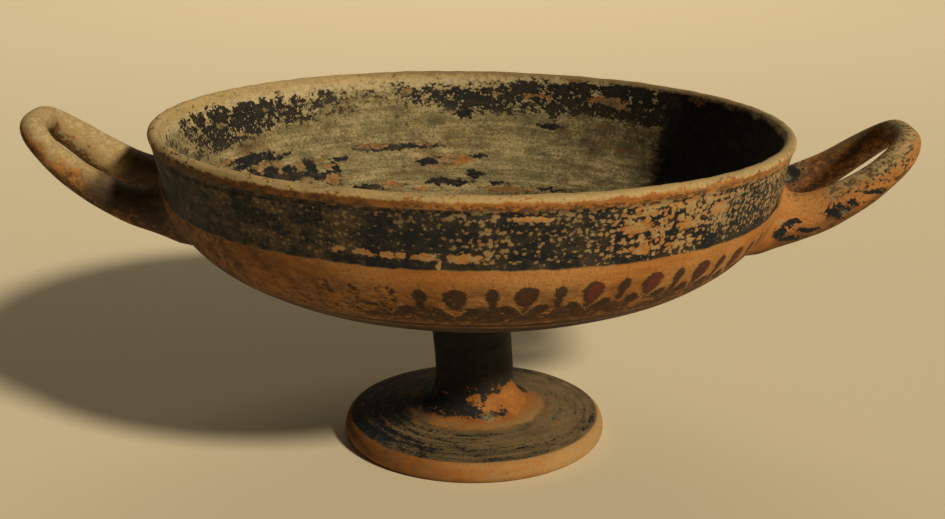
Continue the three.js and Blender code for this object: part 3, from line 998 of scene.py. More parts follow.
class Field:
    """One output of a material's nodes: a number, vector or colour at each point of a surface.

    Arithmetic on fields and numbers adds Math nodes.
    """

    def __init__(self, tree, socket=None):
        self.tree = tree
        self.socket = socket

    def node(self, kind, settings=None, values=None, output=0):
        """Adds a node of a type, applies its settings, then sets or links its sockets."""
        made = self.tree.nodes.new("ShaderNode" + kind)
        for name, value in (settings or {}).items():
            if name == "stops":
                fill_ramp(made.color_ramp, value)
            else:
                setattr(made, name, value)
        for name, value in (values or {}).items():
            if isinstance(value, Field):
                self.tree.links.new(value.socket, made.inputs[name])
            else:
                made.inputs[name].default_value = value
        return Field(self.tree, made.outputs[output])

    def output(self, number):
        """Another output of the node that this field comes from."""
        return Field(self.tree, self.socket.node.outputs[number])

    def math(self, operation, first, second=0.0):
        return self.node("Math", {"operation": operation}, {0: first, 1: second})

    def __add__(self, other):
        return self.math("ADD", self, other)

    __radd__ = __add__

    def __sub__(self, other):
        return self.math("SUBTRACT", self, other)

    def __rsub__(self, other):
        return self.math("SUBTRACT", other, self)

    def __mul__(self, other):
        return self.math("MULTIPLY", self, other)

    __rmul__ = __mul__

    def __truediv__(self, other):
        return self.math("DIVIDE", self, other)

    def __pow__(self, other):
        return self.math("POWER", self, other)

    def __abs__(self):
        return self.math("ABSOLUTE", self)

    def least(self, other):
        """The smaller of two numbers."""
        return self.math("MINIMUM", self, other)

    def most(self, other):
        """The larger of two numbers."""
        return self.math("MAXIMUM", self, other)

    def step(self, edge, soft, before, after):
        """One number before an edge and another after it, with a smooth step of soft to either side."""
        values = {"Value": self, "From Min": edge - soft, "From Max": edge + soft}
        values.update({"To Min": before, "To Max": after})
        return self.node("MapRange", {"interpolation_type": "SMOOTHSTEP"}, values)

    def above(self, edge, soft):
        """1 above an edge and 0 below it."""
        return self.step(edge, soft, 0.0, 1.0)

    def below(self, edge, soft):
        """1 below an edge and 0 above it."""
        return self.step(edge, soft, 1.0, 0.0)

    def between(self, low, high, soft):
        """1 between two edges, with smooth steps."""
        return self.above(low, soft) * self.below(high, soft)

    def scaled(self, x, y, z):
        """This vector with each direction multiplied."""
        return self.node("VectorMath", {"operation": "MULTIPLY"}, {0: self, 1: (x, y, z)})

    def noise(self, size, detail=2.0, rough=0.5, output=0):
        """Cloudy noise with features of about a size, read at this vector."""
        values = {"Vector": self, "Scale": 1.0 / size, "Detail": detail, "Roughness": rough}
        return self.node("TexNoise", None, values, output)

    def cells(self, size):
        """How far each place is from the nearest of scattered points about a size apart, in sizes."""
        return self.node("TexVoronoi", None, {"Vector": self, "Scale": 1.0 / size, "Randomness": 0.9})

    def shaken(self, size, far):
        """This vector moved about by noise, up to about half of far each way."""
        shake = self.noise(size, 3.0, 0.6, 1)
        centred = self.node("VectorMath", {"operation": "SUBTRACT"}, {0: shake, 1: (0.5, 0.5, 0.5)})
        moved = centred.scaled(far, far, far)
        return self.node("VectorMath", {"operation": "ADD"}, {0: self, 1: moved})

    def blobs(self, places):
        """How far from the nearest of some blobs this vector is: 1 at a blob's edge.

        A blob is a centre and its half sizes in three directions.
        """
        nearest = None
        for centre, half in places:
            shrink = tuple(1.0 / size for size in half)
            shift = tuple(-place / size for place, size in zip(centre, half))
            fit = {"operation": "MULTIPLY_ADD"}
            offset = self.node("VectorMath", fit, {0: self, 1: shrink, 2: shift})
            far = offset.node("VectorMath", {"operation": "LENGTH"}, {0: offset}, 1)
            nearest = far if nearest is None else nearest.least(far)
        return nearest


def fill_ramp(ramp, stops):
    """Puts grey stops, each a place from 0 to 1 and a brightness, on a ramp."""
    ramp.interpolation = "EASE"
    ramp.elements[0].position = stops[0][0]
    ramp.elements[1].position = stops[-1][0]
    for place, _ in stops[1:-1]:
        ramp.elements.new(place)
    for element, (_, grey) in zip(ramp.elements, stops):
        element.color = (grey, grey, grey, 1.0)


def by_bearing(at, stops, most=1.0):
    """A number that changes round the cup, given as (degrees, number) pairs, none above most."""
    turned = at.bearing / 360.0 + 0.5
    places = [(degrees / 360.0 + 0.5, number / most) for degrees, number in stops]
    shown = turned.node("ValToRGB", {"stops": places}, {"Fac": turned})
    return shown if most == 1.0 else shown * most


def mottle(at, clump, speck, grain):
    """Noise of three sizes, the coarsest first, each times its share."""
    return at.clump * clump + at.speck * speck + at.grain * grain


def unevenly(at, share):
    """A share with coarse noise in it, as strong as the share itself."""
    return share + (at.clump + at.speck) * share * 1.6


def cover(share, under, over):
    """The colour under, covered by the colour over as far as share goes."""
    under = under if isinstance(under, Field) else (*under, 1.0)
    over = over if isinstance(over, Field) else (*over, 1.0)
    return share.node("Mix", {"data_type": "RGBA"}, {0: share, 6: under, 7: over}, 2)


def coats(under, *layers):
    """A colour under layers, each given as the share that it covers and its colour."""
    for share, over in layers:
        under = cover(share, under, over)
    return under


def wall_patches(marks):
    """Blobs on the unrolled wall, from (bearing in degrees, drop, half width in degrees, half height)."""
    return [
        ((bearing * DEGREE, drop, 0.0), (wide * DEGREE, tall, 1000.0))
        for bearing, drop, wide, tall in marks
    ]


def read_fields(tree, cup):
    """The coordinates and noises that all the paint is worked out from."""
    start = Field(tree)

    def attribute(name, output):
        return start.node("Attribute", {"attribute_name": name}, None, output)

    place = attribute("place", 1)
    x = place.node("SeparateXYZ", None, {0: place})
    y = x.output(1)
    z = x.output(2)
    grip = attribute("grip", 1)
    leg = grip.node("SeparateXYZ", None, {0: grip})
    along = attribute("along", 2)
    bearing = x.math("ARCTAN2", y, x) * (180.0 / math.pi)
    flat = x.node("CombineXYZ", None, {0: x, 1: y})
    drop = heights(cup)[2] - z
    handle = attribute("off_wall", 2).above(0.7, 0.5)
    wall = 1.0 - handle
    outer = along.above(0.0, 0.4)
    wheel = x.node("CombineXYZ", None, {0: x, 1: y, 2: along + (z - along) * handle})
    return SimpleNamespace(
        place=place,
        x=x,
        y=y,
        z=z,
        leg=leg,
        top=leg.output(1),
        side=leg.output(2),
        along=along,
        bearing=bearing,
        radius=flat.node("VectorMath", {"operation": "LENGTH"}, {0: flat}, 1),
        drop=drop,
        sheet=x.node("CombineXYZ", None, {0: bearing * DEGREE, 1: drop}),
        handle=handle,
        wall=wall,
        outer=outer,
        inner=wall * (1.0 - outer),
        off_handle=attribute("off_handle", 2),
        grain=wheel.scaled(0.9, 0.9, 1.0).noise(0.75, 2.0, 0.6) - 0.5,
        speck=wheel.scaled(0.75, 0.75, 1.0).noise(1.6, 2.0, 0.6) - 0.5,
        clump=wheel.scaled(0.7, 0.7, 1.0).noise(5.0, 2.0, 0.55) - 0.5,
        broad=place.noise(24.0, 2.0, 0.5) - 0.5,
        rows=wheel.scaled(0.06, 0.06, 1.0).noise(1.5, 2.0, 0.6) - 0.5,
        streak=wheel.scaled(0.22, 0.22, 1.0).noise(2.2, 3.0, 0.62) - 0.5,
        fine=place.noise(0.45, 1.0, 0.6) - 0.5,
        cells=wheel.scaled(0.8, 0.8, 1.0).cells(1.25),
    )


def gloss_paint(at, marks):
    """Where the black gloss was painted on the outside, before any wear."""
    stem = marks["stem"]
    drop = at.drop + at.speck * 0.6
    bowl = at.outer * at.wall * at.along.below(stem, 0.5)
    panel = abs(at.y).below(PANEL_HALF, 1.0) * drop.above(PANEL_DROP, 0.5) * abs(at.x).above(PANEL_FAR, 1.0)
    root = at.off_handle.below(ROOT_CLEAR, 0.5)
    band = bowl * (drop + at.clump).between(*BAND, 0.3) * (1.0 - panel.most(root))
    line = bowl * drop.between(*LINE, 0.15)
    below = bowl * drop.above(UNDER_LINE, 0.15) * at.along.below(stem - 0.5, 0.2)
    foot = at.wall * at.along.between(stem + 0.6, marks["foot_edge"] + 0.2, 0.2)
    return SimpleNamespace(bowl=bowl, band=band, under=line.most(below), foot=foot)


def drawn(count):
    """Three even random numbers from -0.5 to 0.5 for each whole number."""
    colour = count.node("TexWhiteNoise", {"noise_dimensions": "1D"}, {"W": count}, 1)
    first = colour.node("SeparateColor", None, {0: colour})
    return first - 0.5, first.output(1) - 0.5, first.output(2) - 0.5


def rounded_drop(t, high, low, widest):
    """Half width of a drop shape at a share t of its height: t^high (1 - t)^low, times widest."""
    held = t.most(0.0).least(1.0)
    return held**high * (1.0 - held) ** low * widest


def frieze(at):
    """The chain of hearts and buds below the band, as ink, red and light shares.

    One unit is 11.25 degrees wide and has a heart in its middle, two tilted leaves and a
    light V at the heart's foot, and half a bud at each end. Each heart and bud is shifted a
    little, because they were brushed by hand.
    """
    unit = (at.bearing + (UNIT / 2.0 - HEART_BEARING + 360.0)) / UNIT
    wide = UNIT * DEGREE * UNIT_SHARE
    shake = at.speck * 1.8 + at.grain * 1.6
    wander = by_bearing(at, FRIEZE_WANDER, WANDER_MOST) - 0.3
    left, low, big = drawn(unit.math("FLOOR", unit))
    across = (unit.math("FRACT", unit) - 0.5) * wide + left * 0.8 + shake
    down = at.drop - wander + low * 0.5 + at.clump * 1.2 + at.grain * 1.2
    half = rounded_drop((down - HEART_TOP) / (HEART_SIZE + big * 0.6), 0.5, 0.85, HEART_SIZE)
    heart = (half - abs(across)).above(0.0, 0.4)
    core = (half - abs(across - 0.5)).above(0.95, 0.45)
    out = abs(across) - LEAF_OUT
    under = down - LEAF_DROP
    level = (out * math.cos(LEAF_TILT) - under * math.sin(LEAF_TILT)) / LEAF_HALF_LENGTH
    upright = (out * math.sin(LEAF_TILT) + under * math.cos(LEAF_TILT)) / LEAF_HALF_WIDTH
    leaf = (level * level + upright * upright).below(1.0, 0.4)
    vee = abs(down - (VEE_FOOT - abs(across) * VEE_SLOPE)).below(0.22, 0.16)
    vee = vee * abs(across).below(VEE_REACH, 0.4)
    between = unit + 0.5
    left, low, big = drawn(between.math("FLOOR", between))
    across = (between.math("FRACT", between) - 0.5) * wide + left * 0.8 + shake * 0.7
    head = rounded_drop((down - BUD_TOP) / BUD_HEIGHT, 0.5, 0.5, BUD_WIDTH)
    stalk = down.between(STALK[0], STALK[1] + big, 0.3)
    bud = (head.most(stalk) - abs(across + left * down.above(25.5, 2.0))).above(0.0, 0.4)
    smudged = (by_bearing(at, SMUDGE) + mottle(at, 1.4, 1.4, 1.4)).above(0.5, 0.2)
    chain = (at.drop + at.clump * 3.0).between(*CHAIN, 1.0) * smudged
    return heart.most(bud).most(leaf).most(chain * 0.9), heart * core, vee


def band_wear(at):
    """The share of the outer band's gloss that has gone.

    Cells about a millimetre wide flake from their middles outwards, so that a net of black is
    left. How far this has gone changes round the cup, and the band's lowest line is kept.
    """
    worn = by_bearing(at, BAND_WORN)
    high = at.drop.below(6.0, 1.6) * 0.10
    low = at.drop.above(16.4, 0.7) * 0.4
    cloud = (0.5 - at.cells) * 1.25 + mottle(at, 0.8, 0.8, 1.3) + at.rows * 0.8
    flakes = (worn + high - low + cloud).above(0.5, 0.15) * (worn * 1.6 + 0.2).least(1.0)
    patches = at.sheet.shaken(2.4, 2.2).blobs(wall_patches(OUTER_FLAKES))
    return flakes.most((patches + at.speck * 1.4 + at.grain).below(1.0, 0.12))


def inside_wear(at):
    """Where the inside shows black, as gloss and as painted shadow, and where bare clay, between the
    deposit.

    The gloss shows in a belt whose upper and lower edges change round the cup. The whole side that
    turns away from the light is black too, partly gloss and partly painted shadow. Noise breaks up
    its edges and makes holes.
    """
    top = by_bearing(at, BELT_TOP, BELT_MOST)
    low = by_bearing(at, BELT_LOW, BELT_MOST)
    drop = at.drop + at.clump * 4.0 + at.speck * 3.0
    belt = (drop - top).above(0.0, 2.0) * (drop - low).below(0.0, 2.6)
    thinner = (drop - low + 6.0).above(0.0, 5.0) * 0.16
    dense = by_bearing(at, BELT_DENSE) - thinner
    black = (belt * dense + mottle(at, 1.2, 1.7, 1.2)).above(0.5, 0.1)
    # Black over the side away from the light: partly gloss, partly painted shadow whose edge follows the
    # rim's cast shadow
    shaded = at.x * math.cos(SHADE_TURN) - at.y * math.sin(SHADE_TURN) + mottle(at, 9.0, 5.0, 3.0)
    black = black.most(shaded.above(48.0, 3.0) * (at.drop + at.clump * 4.0).above(1.5, 0.7))
    ragged = at.speck * 1.8 + at.grain * 1.4
    sheet = at.sheet.shaken(3.0, 3.0)
    named = (sheet.blobs(wall_patches(INNER_BLACK)) + ragged).below(1.0, 0.14)
    bare = sheet.blobs(wall_patches(INNER_CLAY)) + ragged * 0.7
    rim = (bare - at.clump * 1.6).below(1.18, 0.1)
    return black.most(named).most(rim), bare.below(1.0, 0.12)


def foot_dress(at, marks, foot):
    """Wear of stem and foot, as the shares of gloss, of a bare ring and of dust.

    Clay shows on the flare up to a height that changes round the stem, and in a paler ring
    round it. Beyond that the gloss is dusty in rings, and blacker again near the edge.
    """
    high = by_bearing(at, FLARE_BARE, FLARE_MOST)
    jag = at.z + mottle(at, 9.0, 5.0, 2.0)
    flare = at.z.above(8.6, 0.4) * at.radius.below(22.0, 2.0) * (jag - high).below(0.0, 0.5)
    spots = (at.place.shaken(2.0, 2.4).blobs(FLARE_BLACK) + at.grain * 2.4 + at.speck).below(1.0, 0.15)
    front = at.bearing.between(-136.0, 16.0, 18.0)
    ring = front * (at.radius + mottle(at, 4.0, 3.0, 1.6)).between(16.6, 21.4, 1.4) * at.z.below(9.4, 0.4)
    chips = (at.speck * 1.5 + at.streak * 1.2 + at.grain * 0.8).above(0.30, 0.05) * at.z.below(18.0, 3.0)
    bare = (flare * (1.0 - spots)).most(ring * 0.9).most(chips * 0.8)
    edge = at.radius.above(30.5, 2.6) * 0.26
    cloud = at.rows * 2.0 + at.streak * 1.6 + at.speck * 1.6 + at.grain * 2.2
    dust = (cloud + by_bearing(at, FOOT_DUSTY) - edge).above(0.34, 0.42)
    dust = dust * at.along.above(marks["foot_top"] - 0.5, 0.4)
    gloss = foot * (1.0 - bare)
    return gloss, foot * ring, gloss * dust


def handle_dress(at):
    """Marks on the handles, as the shares of black, of dark stain and painted shade, and of deposit.

    Black gloss is left in patches, dots and dashes on the right handle. At the left one's roots
    the black is partly gloss and partly painted shadow, where the bowl's shadow falls. The right
    handle's inner side is darkened as painted shade, the under sides are stained, and the deposit
    lies on top.
    """
    right = at.x.above(0.0, 1.0)
    left = 1.0 - right
    far_leg = at.leg.above(0.5, 0.1)
    near = at.off_handle.below(2.0, 1.0)
    patch = at.place.shaken(2.4, 3.0).blobs(GRIP_BLACK) + at.speck * 1.8 + at.grain * 2.0
    patch = patch.below(1.0, 0.12) * near
    dots = (0.38 - at.cells + mottle(at, 0.9, 0.6, 1.4)).above(0.08, 0.06)
    dots = dots * (at.top + at.clump * 1.6).between(0.0, 0.9, 0.2) * (at.side - far_leg).above(-0.3, 0.3)
    dots = right * dots * at.leg.above(0.17, 0.05)
    dashes = (at.top + at.clump * 0.9).between(-0.34, -0.14, 0.1)
    dashes = right * dashes * (at.grain + at.speck + at.streak).above(0.0, 0.06)
    dashes = dashes * at.side.above(0.3, 0.3) * at.leg.between(0.14, 0.44, 0.04)
    # Painted shadow: black at the left handle's roots, partly gloss, reaching out to where the bowl's shadow
    # ends
    legs = at.leg.below(0.235, 0.03) + at.leg.above(0.79, 0.03)
    root = left * legs * (at.top + at.clump * 1.4 + at.speck).above(-0.5, 0.4)
    black = at.handle * (dots * 0.9).most(patch).most(dashes * 0.85).most(root * 0.85)

    # Painted shade: the right handle's inner side, which the loop shades, is darkened with the stain colour
    inner = right * (at.side + at.speck * 1.2).below(-0.22, 0.2)
    lower = (at.top + at.clump * 1.2 + at.speck * 0.6 - left * 0.22).below(-0.40, 0.3)
    flank = left * at.side.above(0.3, 0.4) * (at.streak * 3.0 + at.speck * 2.4 + 0.55)
    end = (at.x + at.clump * 5.0).below(-115.5, 3.0) * at.top.below(0.35, 0.35) * at.side.above(0.0, 0.3)
    stain = (inner * 0.8).most(lower * (left * 0.24 + 0.66)).most(end * 0.85).most(flank * 0.6)
    stain = at.handle * stain * (at.speck * 2.4 + at.grain * 1.2 + 1.0)

    dust = at.top * 0.6 + at.side.below(0.55, 0.4) * 0.16 + abs(at.x).above(103.0, 8.0) * 0.24
    dust = dust + left * (far_leg * 0.12 - at.side.above(0.45, 0.3) * 0.34 + 0.3)
    dust = dust - right * (at.leg.above(0.56, 0.06) * 0.36 + at.leg.below(0.17, 0.06) * 0.5)
    dust = (dust + mottle(at, 1.5, 1.3, 1.3)).above(0.52, 0.24)
    return black, stain, at.handle * near * dust * (1.0 - black) * (1.0 - end)


def bare_clay(at, marks, paint, stains_and_shade, finish):
    """Clay under the gloss: two tones drawn out by the wheel, pale clouds, grain, stain, dust and painted
    shade.
    """
    edge = at.wall * at.along.above(marks["foot_edge"] - 0.2, 0.3)
    lightened = mottle(at, 1.4, 1.6, 1.6) + by_bearing(at, EDGE_DUSTY)
    dull = mottle(at, 1.6, 2.4, 2.4) + 0.4
    return coats(
        finish.clay,
        (at.streak * 2.4 + 0.42, finish.clay_dark),
        (at.broad * 2.0 + 0.1, finish.clay_pale),
        (at.grain * 2.4 + at.fine * 1.4 + 0.12, finish.clay_dark),
        # Partly stain, partly painted shade: the bowl's clay browns towards the left, away from the light
        (paint.bowl * unevenly(at, by_bearing(at, CLAY_STAIN_AND_SHADE)), finish.stain),
        (stains_and_shade.grip, finish.stain),
        (stains_and_shade.ring * (at.speck * 2.0 + at.streak * 2.0 + 0.3), finish.deposit_tan),
        (edge * lightened * 0.8, finish.deposit_tan),
        (edge * unevenly(at, by_bearing(at, EDGE_STAIN)), finish.stain),
        (paint.band * dull, finish.deposit_tan),
        (at.inner * (at.clump * 3.0 + at.broad * 2.0 + 0.3), finish.deposit_tan),
        (at.inner * (dull * 0.6 + 0.34), finish.deposit_dark),
    )


def gloss_colour(at, paint, finish):
    """Black gloss, brown where it is thin or rubbed, and a painted sheen on the stem's lit right flank."""
    rubbed = mottle(at, 4.0, 2.6, 2.0) + at.rows * 1.4 + 0.46
    # Painted sheen: thin deposit colour over the stem's right flank, towards the light
    lightened = by_bearing(at, STEM_SHEEN)
    lightened = lightened + (at.streak + at.speck) * lightened * 1.6
    return coats(
        finish.gloss,
        (at.clump * 1.6 + at.speck * 1.2 + 0.3, finish.gloss_thin),
        (paint.bowl * by_bearing(at, BAND_RUBBED) * rubbed, finish.rubbed),
        (at.inner * 0.34 * (mottle(at, 3.0, 3.0, 2.4) - 0.05), finish.rubbed),
        (paint.foot * at.radius.below(14.0, 1.0) * lightened, finish.deposit_dark),
    )


def shade_clay(at, paint, black, finish, colour):
    """Browner clay on the stem's flare, between the lines, under the lip and round the frieze."""
    bare = 1.0 - black
    flare = at.wall * at.radius.below(18.0, 2.0) * at.z.below(22.0, 1.0) * bare
    lines = paint.bowl * at.drop.between(33.6, 37.4, 0.4) * bare
    under_lip = paint.bowl * (at.drop + at.clump).between(1.4, 4.4, 0.5) * bare * by_bearing(at, LIP_SHADE)
    haze = paint.bowl * at.drop.above(22.6, 2.0) * by_bearing(at, HAZE)
    return coats(
        colour,
        (flare * (at.speck * 2.0 + at.clump * 2.0 + 0.62), finish.clay_dark),
        (lines * (at.speck * 2.0 + 0.5), finish.stain),
        (under_lip * (at.speck * 2.4 + at.clump * 2.4 + 0.8), finish.stain),
        (haze * (at.speck * 3.0 + at.clump * 2.4 + 0.9), finish.stain),
    )


def paint_frieze(at, paint, finish, colour):
    """The frieze, faded and lost in places, and left out at the handles."""
    ink, red, light = frieze(at)
    kept = (by_bearing(at, FADE) + mottle(at, 0.9, 1.2, 1.2)).above(0.34, 0.2)
    chain = paint.bowl * at.drop.between(*FRIEZE, 0.3) * at.off_handle.above(7.0, 2.0)
    chain = chain * (1.0 - abs(at.y).below(18.0, 3.0)) * kept
    shown = (by_bearing(at, RED_SHOWN) + at.speck + at.grain * 0.6).above(0.5, 0.2)
    return coats(
        colour,
        (chain * ink * 0.88, finish.ink),
        (chain * red * shown, finish.red),
        (chain * light * 0.5, finish.clay_pale),
    )


def deposit_colour(at, finish):
    """Tan to greenish deposit with a dark grain, painted shade growing towards the right, and cream near the
    rim.
    """
    creamy = at.drop + mottle(at, 4.0, 4.0, 2.0) - by_bearing(at, CREAM_REACH, CREAM_MOST)
    pale = cover(mottle(at, 1.6, 2.6, 2.4) + 0.3, finish.cream, finish.deposit)
    # Painted shade: the deposit darkens towards the right, towards the rim's cast shadow
    painted_shade_right = (at.x / 130.0 + 0.05).most(0.0)
    return coats(
        finish.deposit,
        (at.streak * 3.0 + 0.45, finish.deposit_green),
        (at.clump * 2.4 + at.speck * 2.0 + at.broad * 1.6 + painted_shade_right, finish.deposit_dark),
        (at.grain * 2.2 + at.fine * 1.6 + at.rows * 1.6 + 0.14, finish.deposit_dark),
        (at.grain * -1.8 - at.rows * 1.4 - at.clump * 1.4, finish.cream),
        (at.broad * 1.6 + at.streak * 1.6 + at.speck * 1.4 - 0.18, finish.clay_dark),
        (at.inner * creamy.below(0.0, 1.6), pale),
    )


def lip_share(at):
    """Where the cream deposit covers the lip."""
    edge = at.along + mottle(at, 2.6, 1.8, 1.0)
    lip = (edge + by_bearing(at, LIP_DEPTH, LIP_DEPTH_MOST)).above(0.0, 0.4) * edge.below(2.2, 0.35)
    return at.wall * lip * mottle(at, 1.0, 1.2, 1.0).below(0.2, 0.05)


def dress_lip(at, paint, lip, finish, colour):
    """Cream on the lip with a worn line and crest, cracks below it, and grey flecks on the band."""
    cream = cover(at.streak * 2.4 + at.grain * 2.2 + 0.2, finish.lip_cream, finish.deposit)
    worn_line = at.y.below(-30.0, 10.0) * (at.along + at.speck * 1.2).between(-2.3, -1.0, 0.3) * 0.6
    crest = by_bearing(at, CREST_WORN) * (at.along + at.speck * 3.0).between(-2.0, 1.4, 0.6)
    start = by_bearing(at, CRACK_START, CRACK_MOST)
    drop = at.drop + at.clump
    strip = (drop - start).above(0.0, 0.4) * drop.below(3.6, 0.4)
    torn = at.rows * 1.6 + at.speck * 1.8 + at.grain * 1.8 - start.below(1.0, 0.3) * 0.14
    crack = paint.bowl * strip * torn.above(0.1, 0.2)
    flecks = paint.bowl * at.drop.below(15.0, 3.0) * by_bearing(at, FLECKS) * 0.34
    flecks = (flecks + at.grain * 1.6 + at.fine * 0.9).above(0.5, 0.06)
    return coats(
        colour,
        (lip * 0.94, cream),
        (at.wall * worn_line, finish.clay_dark),
        (at.wall * crest * 1.2, finish.foot_dust),
        (crack * 0.8, finish.stain),
        (flecks * 0.8, finish.deposit_grey),
    )


def grip_crust(at, finish):
    """The handles' crust: tan, with a dark grain on the right one and cream on top."""
    dark = (mottle(at, 2.0, 3.4, 4.0) + 0.25) * at.x.above(0.0, 1.0)
    pale = at.grain * -2.6 - at.speck * 2.4 + at.top * 0.3 + at.x.below(0.0, 1.0) * 0.25 - 0.12
    return coats(finish.deposit_tan, (dark, finish.deposit_dark), (pale, finish.cream))


def painted_clay(cup, marks, finish):
    """Warm clay under a flaked black gloss, a painted frieze and a pale deposit."""
    material = bpy.data.materials.new("painted_clay")
    material.use_nodes = True
    tree = material.node_tree
    shader = tree.nodes["Principled BSDF"]
    at = read_fields(tree, cup)
    paint = gloss_paint(at, marks)

    # Where gloss, deposit and dust are left, and where shade and shadow are painted on the inside and the
    # handles
    in_black, in_bare = inside_wear(at)
    foot_black, foot_ring, foot_dust = foot_dress(at, marks, paint.foot)
    grip_gloss_and_shadow, grip_stain_and_shade, grip_dust = handle_dress(at)
    under = paint.under * (at.speck * 1.4 + at.streak + at.grain * 0.8).below(0.3, 0.06)
    black = (paint.band * (1.0 - band_wear(at))).most(under).most(foot_black).most(grip_gloss_and_shadow)
    black = black.most(at.inner * in_black * (1.0 - in_bare))
    kept_clay = in_bare * (0.85 - at.grain * 2.0 - at.speck)
    dust_in = at.inner * at.along.below(-0.5, 0.5) * (1.0 - in_black.most(kept_clay))
    lip = lip_share(at)

    # The colours, from the clay upwards
    colour = bare_clay(at, marks, paint, SimpleNamespace(grip=grip_stain_and_shade, ring=foot_ring), finish)
    colour = cover(black, colour, gloss_colour(at, paint, finish))
    colour = shade_clay(at, paint, black, finish, colour)
    colour = paint_frieze(at, paint, finish, colour)
    colour = cover(dust_in * 0.95, colour, deposit_colour(at, finish))
    colour = dress_lip(at, paint, lip, finish, colour)
    foot_brown = cover(mottle(at, 2.0, 2.0, 3.0) + 0.2, finish.foot_dust, finish.deposit_dark)
    spot = (at.place.shaken(2.0, 1.6).blobs(PALE_SPOTS) + at.grain * 3.0).below(0.9, 0.25)
    colour = coats(
        colour,
        (foot_dust * 0.92, foot_brown),
        (spot * (at.grain * 3.0 + 0.5), finish.deposit_grey),
        (grip_dust * 0.85, grip_crust(at, finish)),
    )

    # Gloss is smoother than clay, deposit is rougher, and all of it has a fine grain
    deposit = dust_in.most(lip).most(grip_dust).most(foot_dust * 0.6)
    rough = CLAY_ROUGHNESS - black * GLOSS_SMOOTHER + deposit * DEPOSIT_ROUGHER
    height = at.fine * 0.05 + at.grain * 0.09 + at.speck * 0.08 + at.rows * 0.06 + at.streak * 0.05
    bump = height.node("Bump", None, {"Strength": BUMP_STRENGTH, "Distance": MM, "Height": height})
    tree.links.new(colour.socket, shader.inputs["Base Color"])
    tree.links.new(rough.socket, shader.inputs["Roughness"])
    tree.links.new(bump.socket, shader.inputs["Normal"])
    shader.inputs["Specular IOR Level"].default_value = CLAY_SPECULAR
    return material


class CUP_OT_make_cup(bpy.types.Operator):
    """Make the whole cup as one piece of painted clay"""

    bl_idname = "cup.make_cup"
    bl_label = "Make Cup"

    def execute(self, context):
        cup = in_millimetres(context.scene.cup_shape)
        piece, marks = make_cup(cup)
        piece.data.materials.clear()
        piece.data.materials.append(painted_clay(cup, marks, context.scene.cup_finish))
        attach(piece, "root")
        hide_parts("kylix")
        return {"FINISHED"}


def add_floor(studio):
    """A wide pale floor at the height of the cup's underside."""
    half = FLOOR_HALF
    mesh = bpy.data.meshes.new("floor")
    corners = [(-half, -half, 0.0), (half, -half, 0.0), (half, half, 0.0), (-half, half, 0.0)]
    mesh.from_pydata(corners, [], [(0, 1, 2, 3)])
    floor = add_to_scene("floor", mesh)
    material = bpy.data.materials.new("pale_floor")
    material.use_nodes = True
    shader = material.node_tree.nodes["Principled BSDF"]
    shader.inputs["Base Color"].default_value = (*studio.floor_colour, 1.0)
    shader.inputs["Roughness"].default_value = 0.9
    shader.inputs["Specular IOR Level"].default_value = 0.2
    mesh.materials.append(material)


def standing(right, up, back, place):
    """A matrix from three directions and a place."""
    rows = [[right[row], up[row], back[row], place[row]] for row in range(3)]
    return Matrix(rows + [[0.0, 0.0, 0.0, 1.0]])


def aimed(place, target):
    """A matrix that puts a lamp at a place, looking at a target."""
    back = np.asarray(place, float) - np.asarray(target, float)
    back /= np.linalg.norm(back)
    right = np.cross([0.0, 0.0, 1.0], back)
    right /= np.linalg.norm(right)
    return standing(right, np.cross(back, right), back, place)


def add_lights(studio):
    """A soft key light from the right in front, a broad lamp above behind, and a little even light."""
    level = math.cos(studio.key_elevation)
    way = (
        level * math.cos(studio.key_azimuth),
        level * math.sin(studio.key_azimuth),
        math.sin(studio.key_elevation),
    )
    sun = bpy.data.lights.new("key", "SUN")
    sun.energy = studio.key_strength
    sun.angle = studio.key_angle
    sun.color = studio.light_colour
    key = add_to_scene("key", sun)
    key.matrix_world = aimed(way, (0.0, 0.0, 0.0))
    lamp = bpy.data.lights.new("back", "AREA")
    lamp.shape = "DISK"
    lamp.size = studio.back_size
    lamp.energy = studio.back_power
    lamp.color = studio.light_colour
    back = add_to_scene("back", lamp)
    back.matrix_world = aimed(tuple(studio.back_place), tuple(studio.back_target))
    world = bpy.data.worlds.new("studio")
    world.use_nodes = True
    background = world.node_tree.nodes["Background"]
    background.inputs["Color"].default_value = (*studio.light_colour, 1.0)
    background.inputs["Strength"].default_value = studio.fill_strength
    bpy.context.scene.world = world


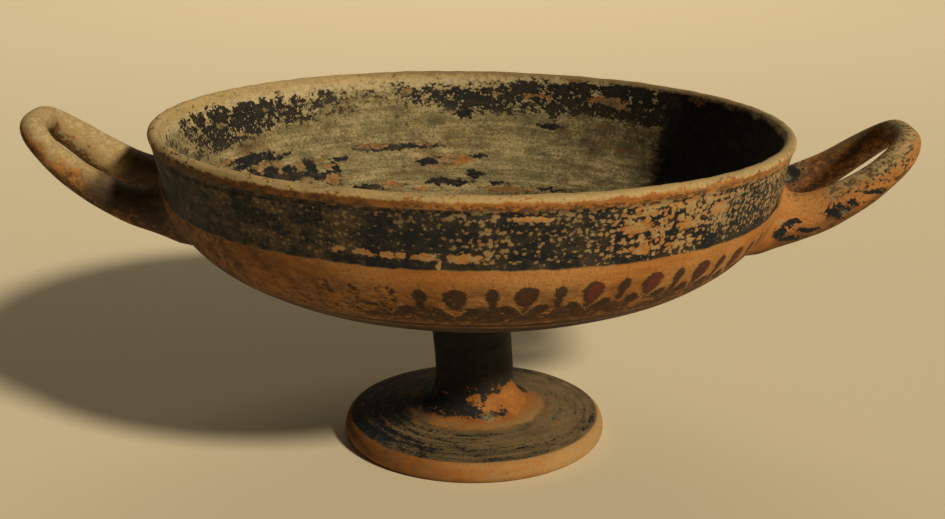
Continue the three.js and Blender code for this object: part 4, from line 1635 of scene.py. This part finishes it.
def add_camera(studio):
    """The camera of the photograph: level sight turned down by the pitch, then rolled."""
    pitch = studio.camera_pitch
    turn = studio.camera_turn
    level = math.cos(pitch)
    forward = np.array([-math.sin(turn) * level, math.cos(turn) * level, -math.sin(pitch)])
    right = np.array([math.cos(turn), math.sin(turn), 0.0])
    up = np.cross(right, forward)
    roll = studio.camera_roll
    turned_right = math.cos(roll) * right + math.sin(roll) * up
    turned_up = -math.sin(roll) * right + math.cos(roll) * up
    lens = bpy.data.cameras.new("camera")
    lens.sensor_fit = "HORIZONTAL"
    lens.angle = studio.camera_view
    lens.clip_start = 0.01
    lens.clip_end = 50.0
    camera = add_to_scene("camera", lens)
    camera.matrix_world = standing(turned_right, turned_up, -forward, studio.camera_place)
    bpy.context.scene.camera = camera


class CUP_OT_make_stage(bpy.types.Operator):
    """Make the floor, the light and the camera"""

    bl_idname = "cup.make_stage"
    bl_label = "Make Stage"

    def execute(self, context):
        studio = context.scene.cup_studio
        add_floor(studio)
        add_lights(studio)
        add_camera(studio)
        context.scene.view_settings.view_transform = "Standard"
        return {"FINISHED"}


class CUP_PT_panel(bpy.types.Panel):
    """Lists the cup's steps and sizes"""

    bl_idname = "CUP_PT_panel"
    bl_label = "Kylix Cup"
    bl_space_type = "VIEW_3D"
    bl_region_type = "UI"
    bl_category = "Cup"

    def draw(self, context):
        layout = self.layout
        layout.operator(CUP_OT_make_cup.bl_idname)
        layout.operator(CUP_OT_make_stage.bl_idname)
        scene = context.scene
        for group in (scene.cup_shape, scene.cup_finish, scene.cup_studio):
            box = layout.box()
            for name in group.__annotations__:
                box.prop(group, name)


CLASSES = (CupShape, CupFinish, StudioSettings, CUP_OT_make_cup, CUP_OT_make_stage, CUP_PT_panel)


def register():
    for kind in CLASSES:
        bpy.utils.register_class(kind)
    bpy.types.Scene.cup_shape = PointerProperty(type=CupShape)
    bpy.types.Scene.cup_finish = PointerProperty(type=CupFinish)
    bpy.types.Scene.cup_studio = PointerProperty(type=StudioSettings)


def unregister():
    del bpy.types.Scene.cup_studio
    del bpy.types.Scene.cup_finish
    del bpy.types.Scene.cup_shape
    for kind in reversed(CLASSES):
        bpy.utils.unregister_class(kind)


def main():
    """Makes every piece and the stage."""
    register()
    bpy.ops.cup.make_cup()
    bpy.ops.cup.make_stage()
    bpy.context.view_layer.update()


if __name__ == "__main__":
    main()
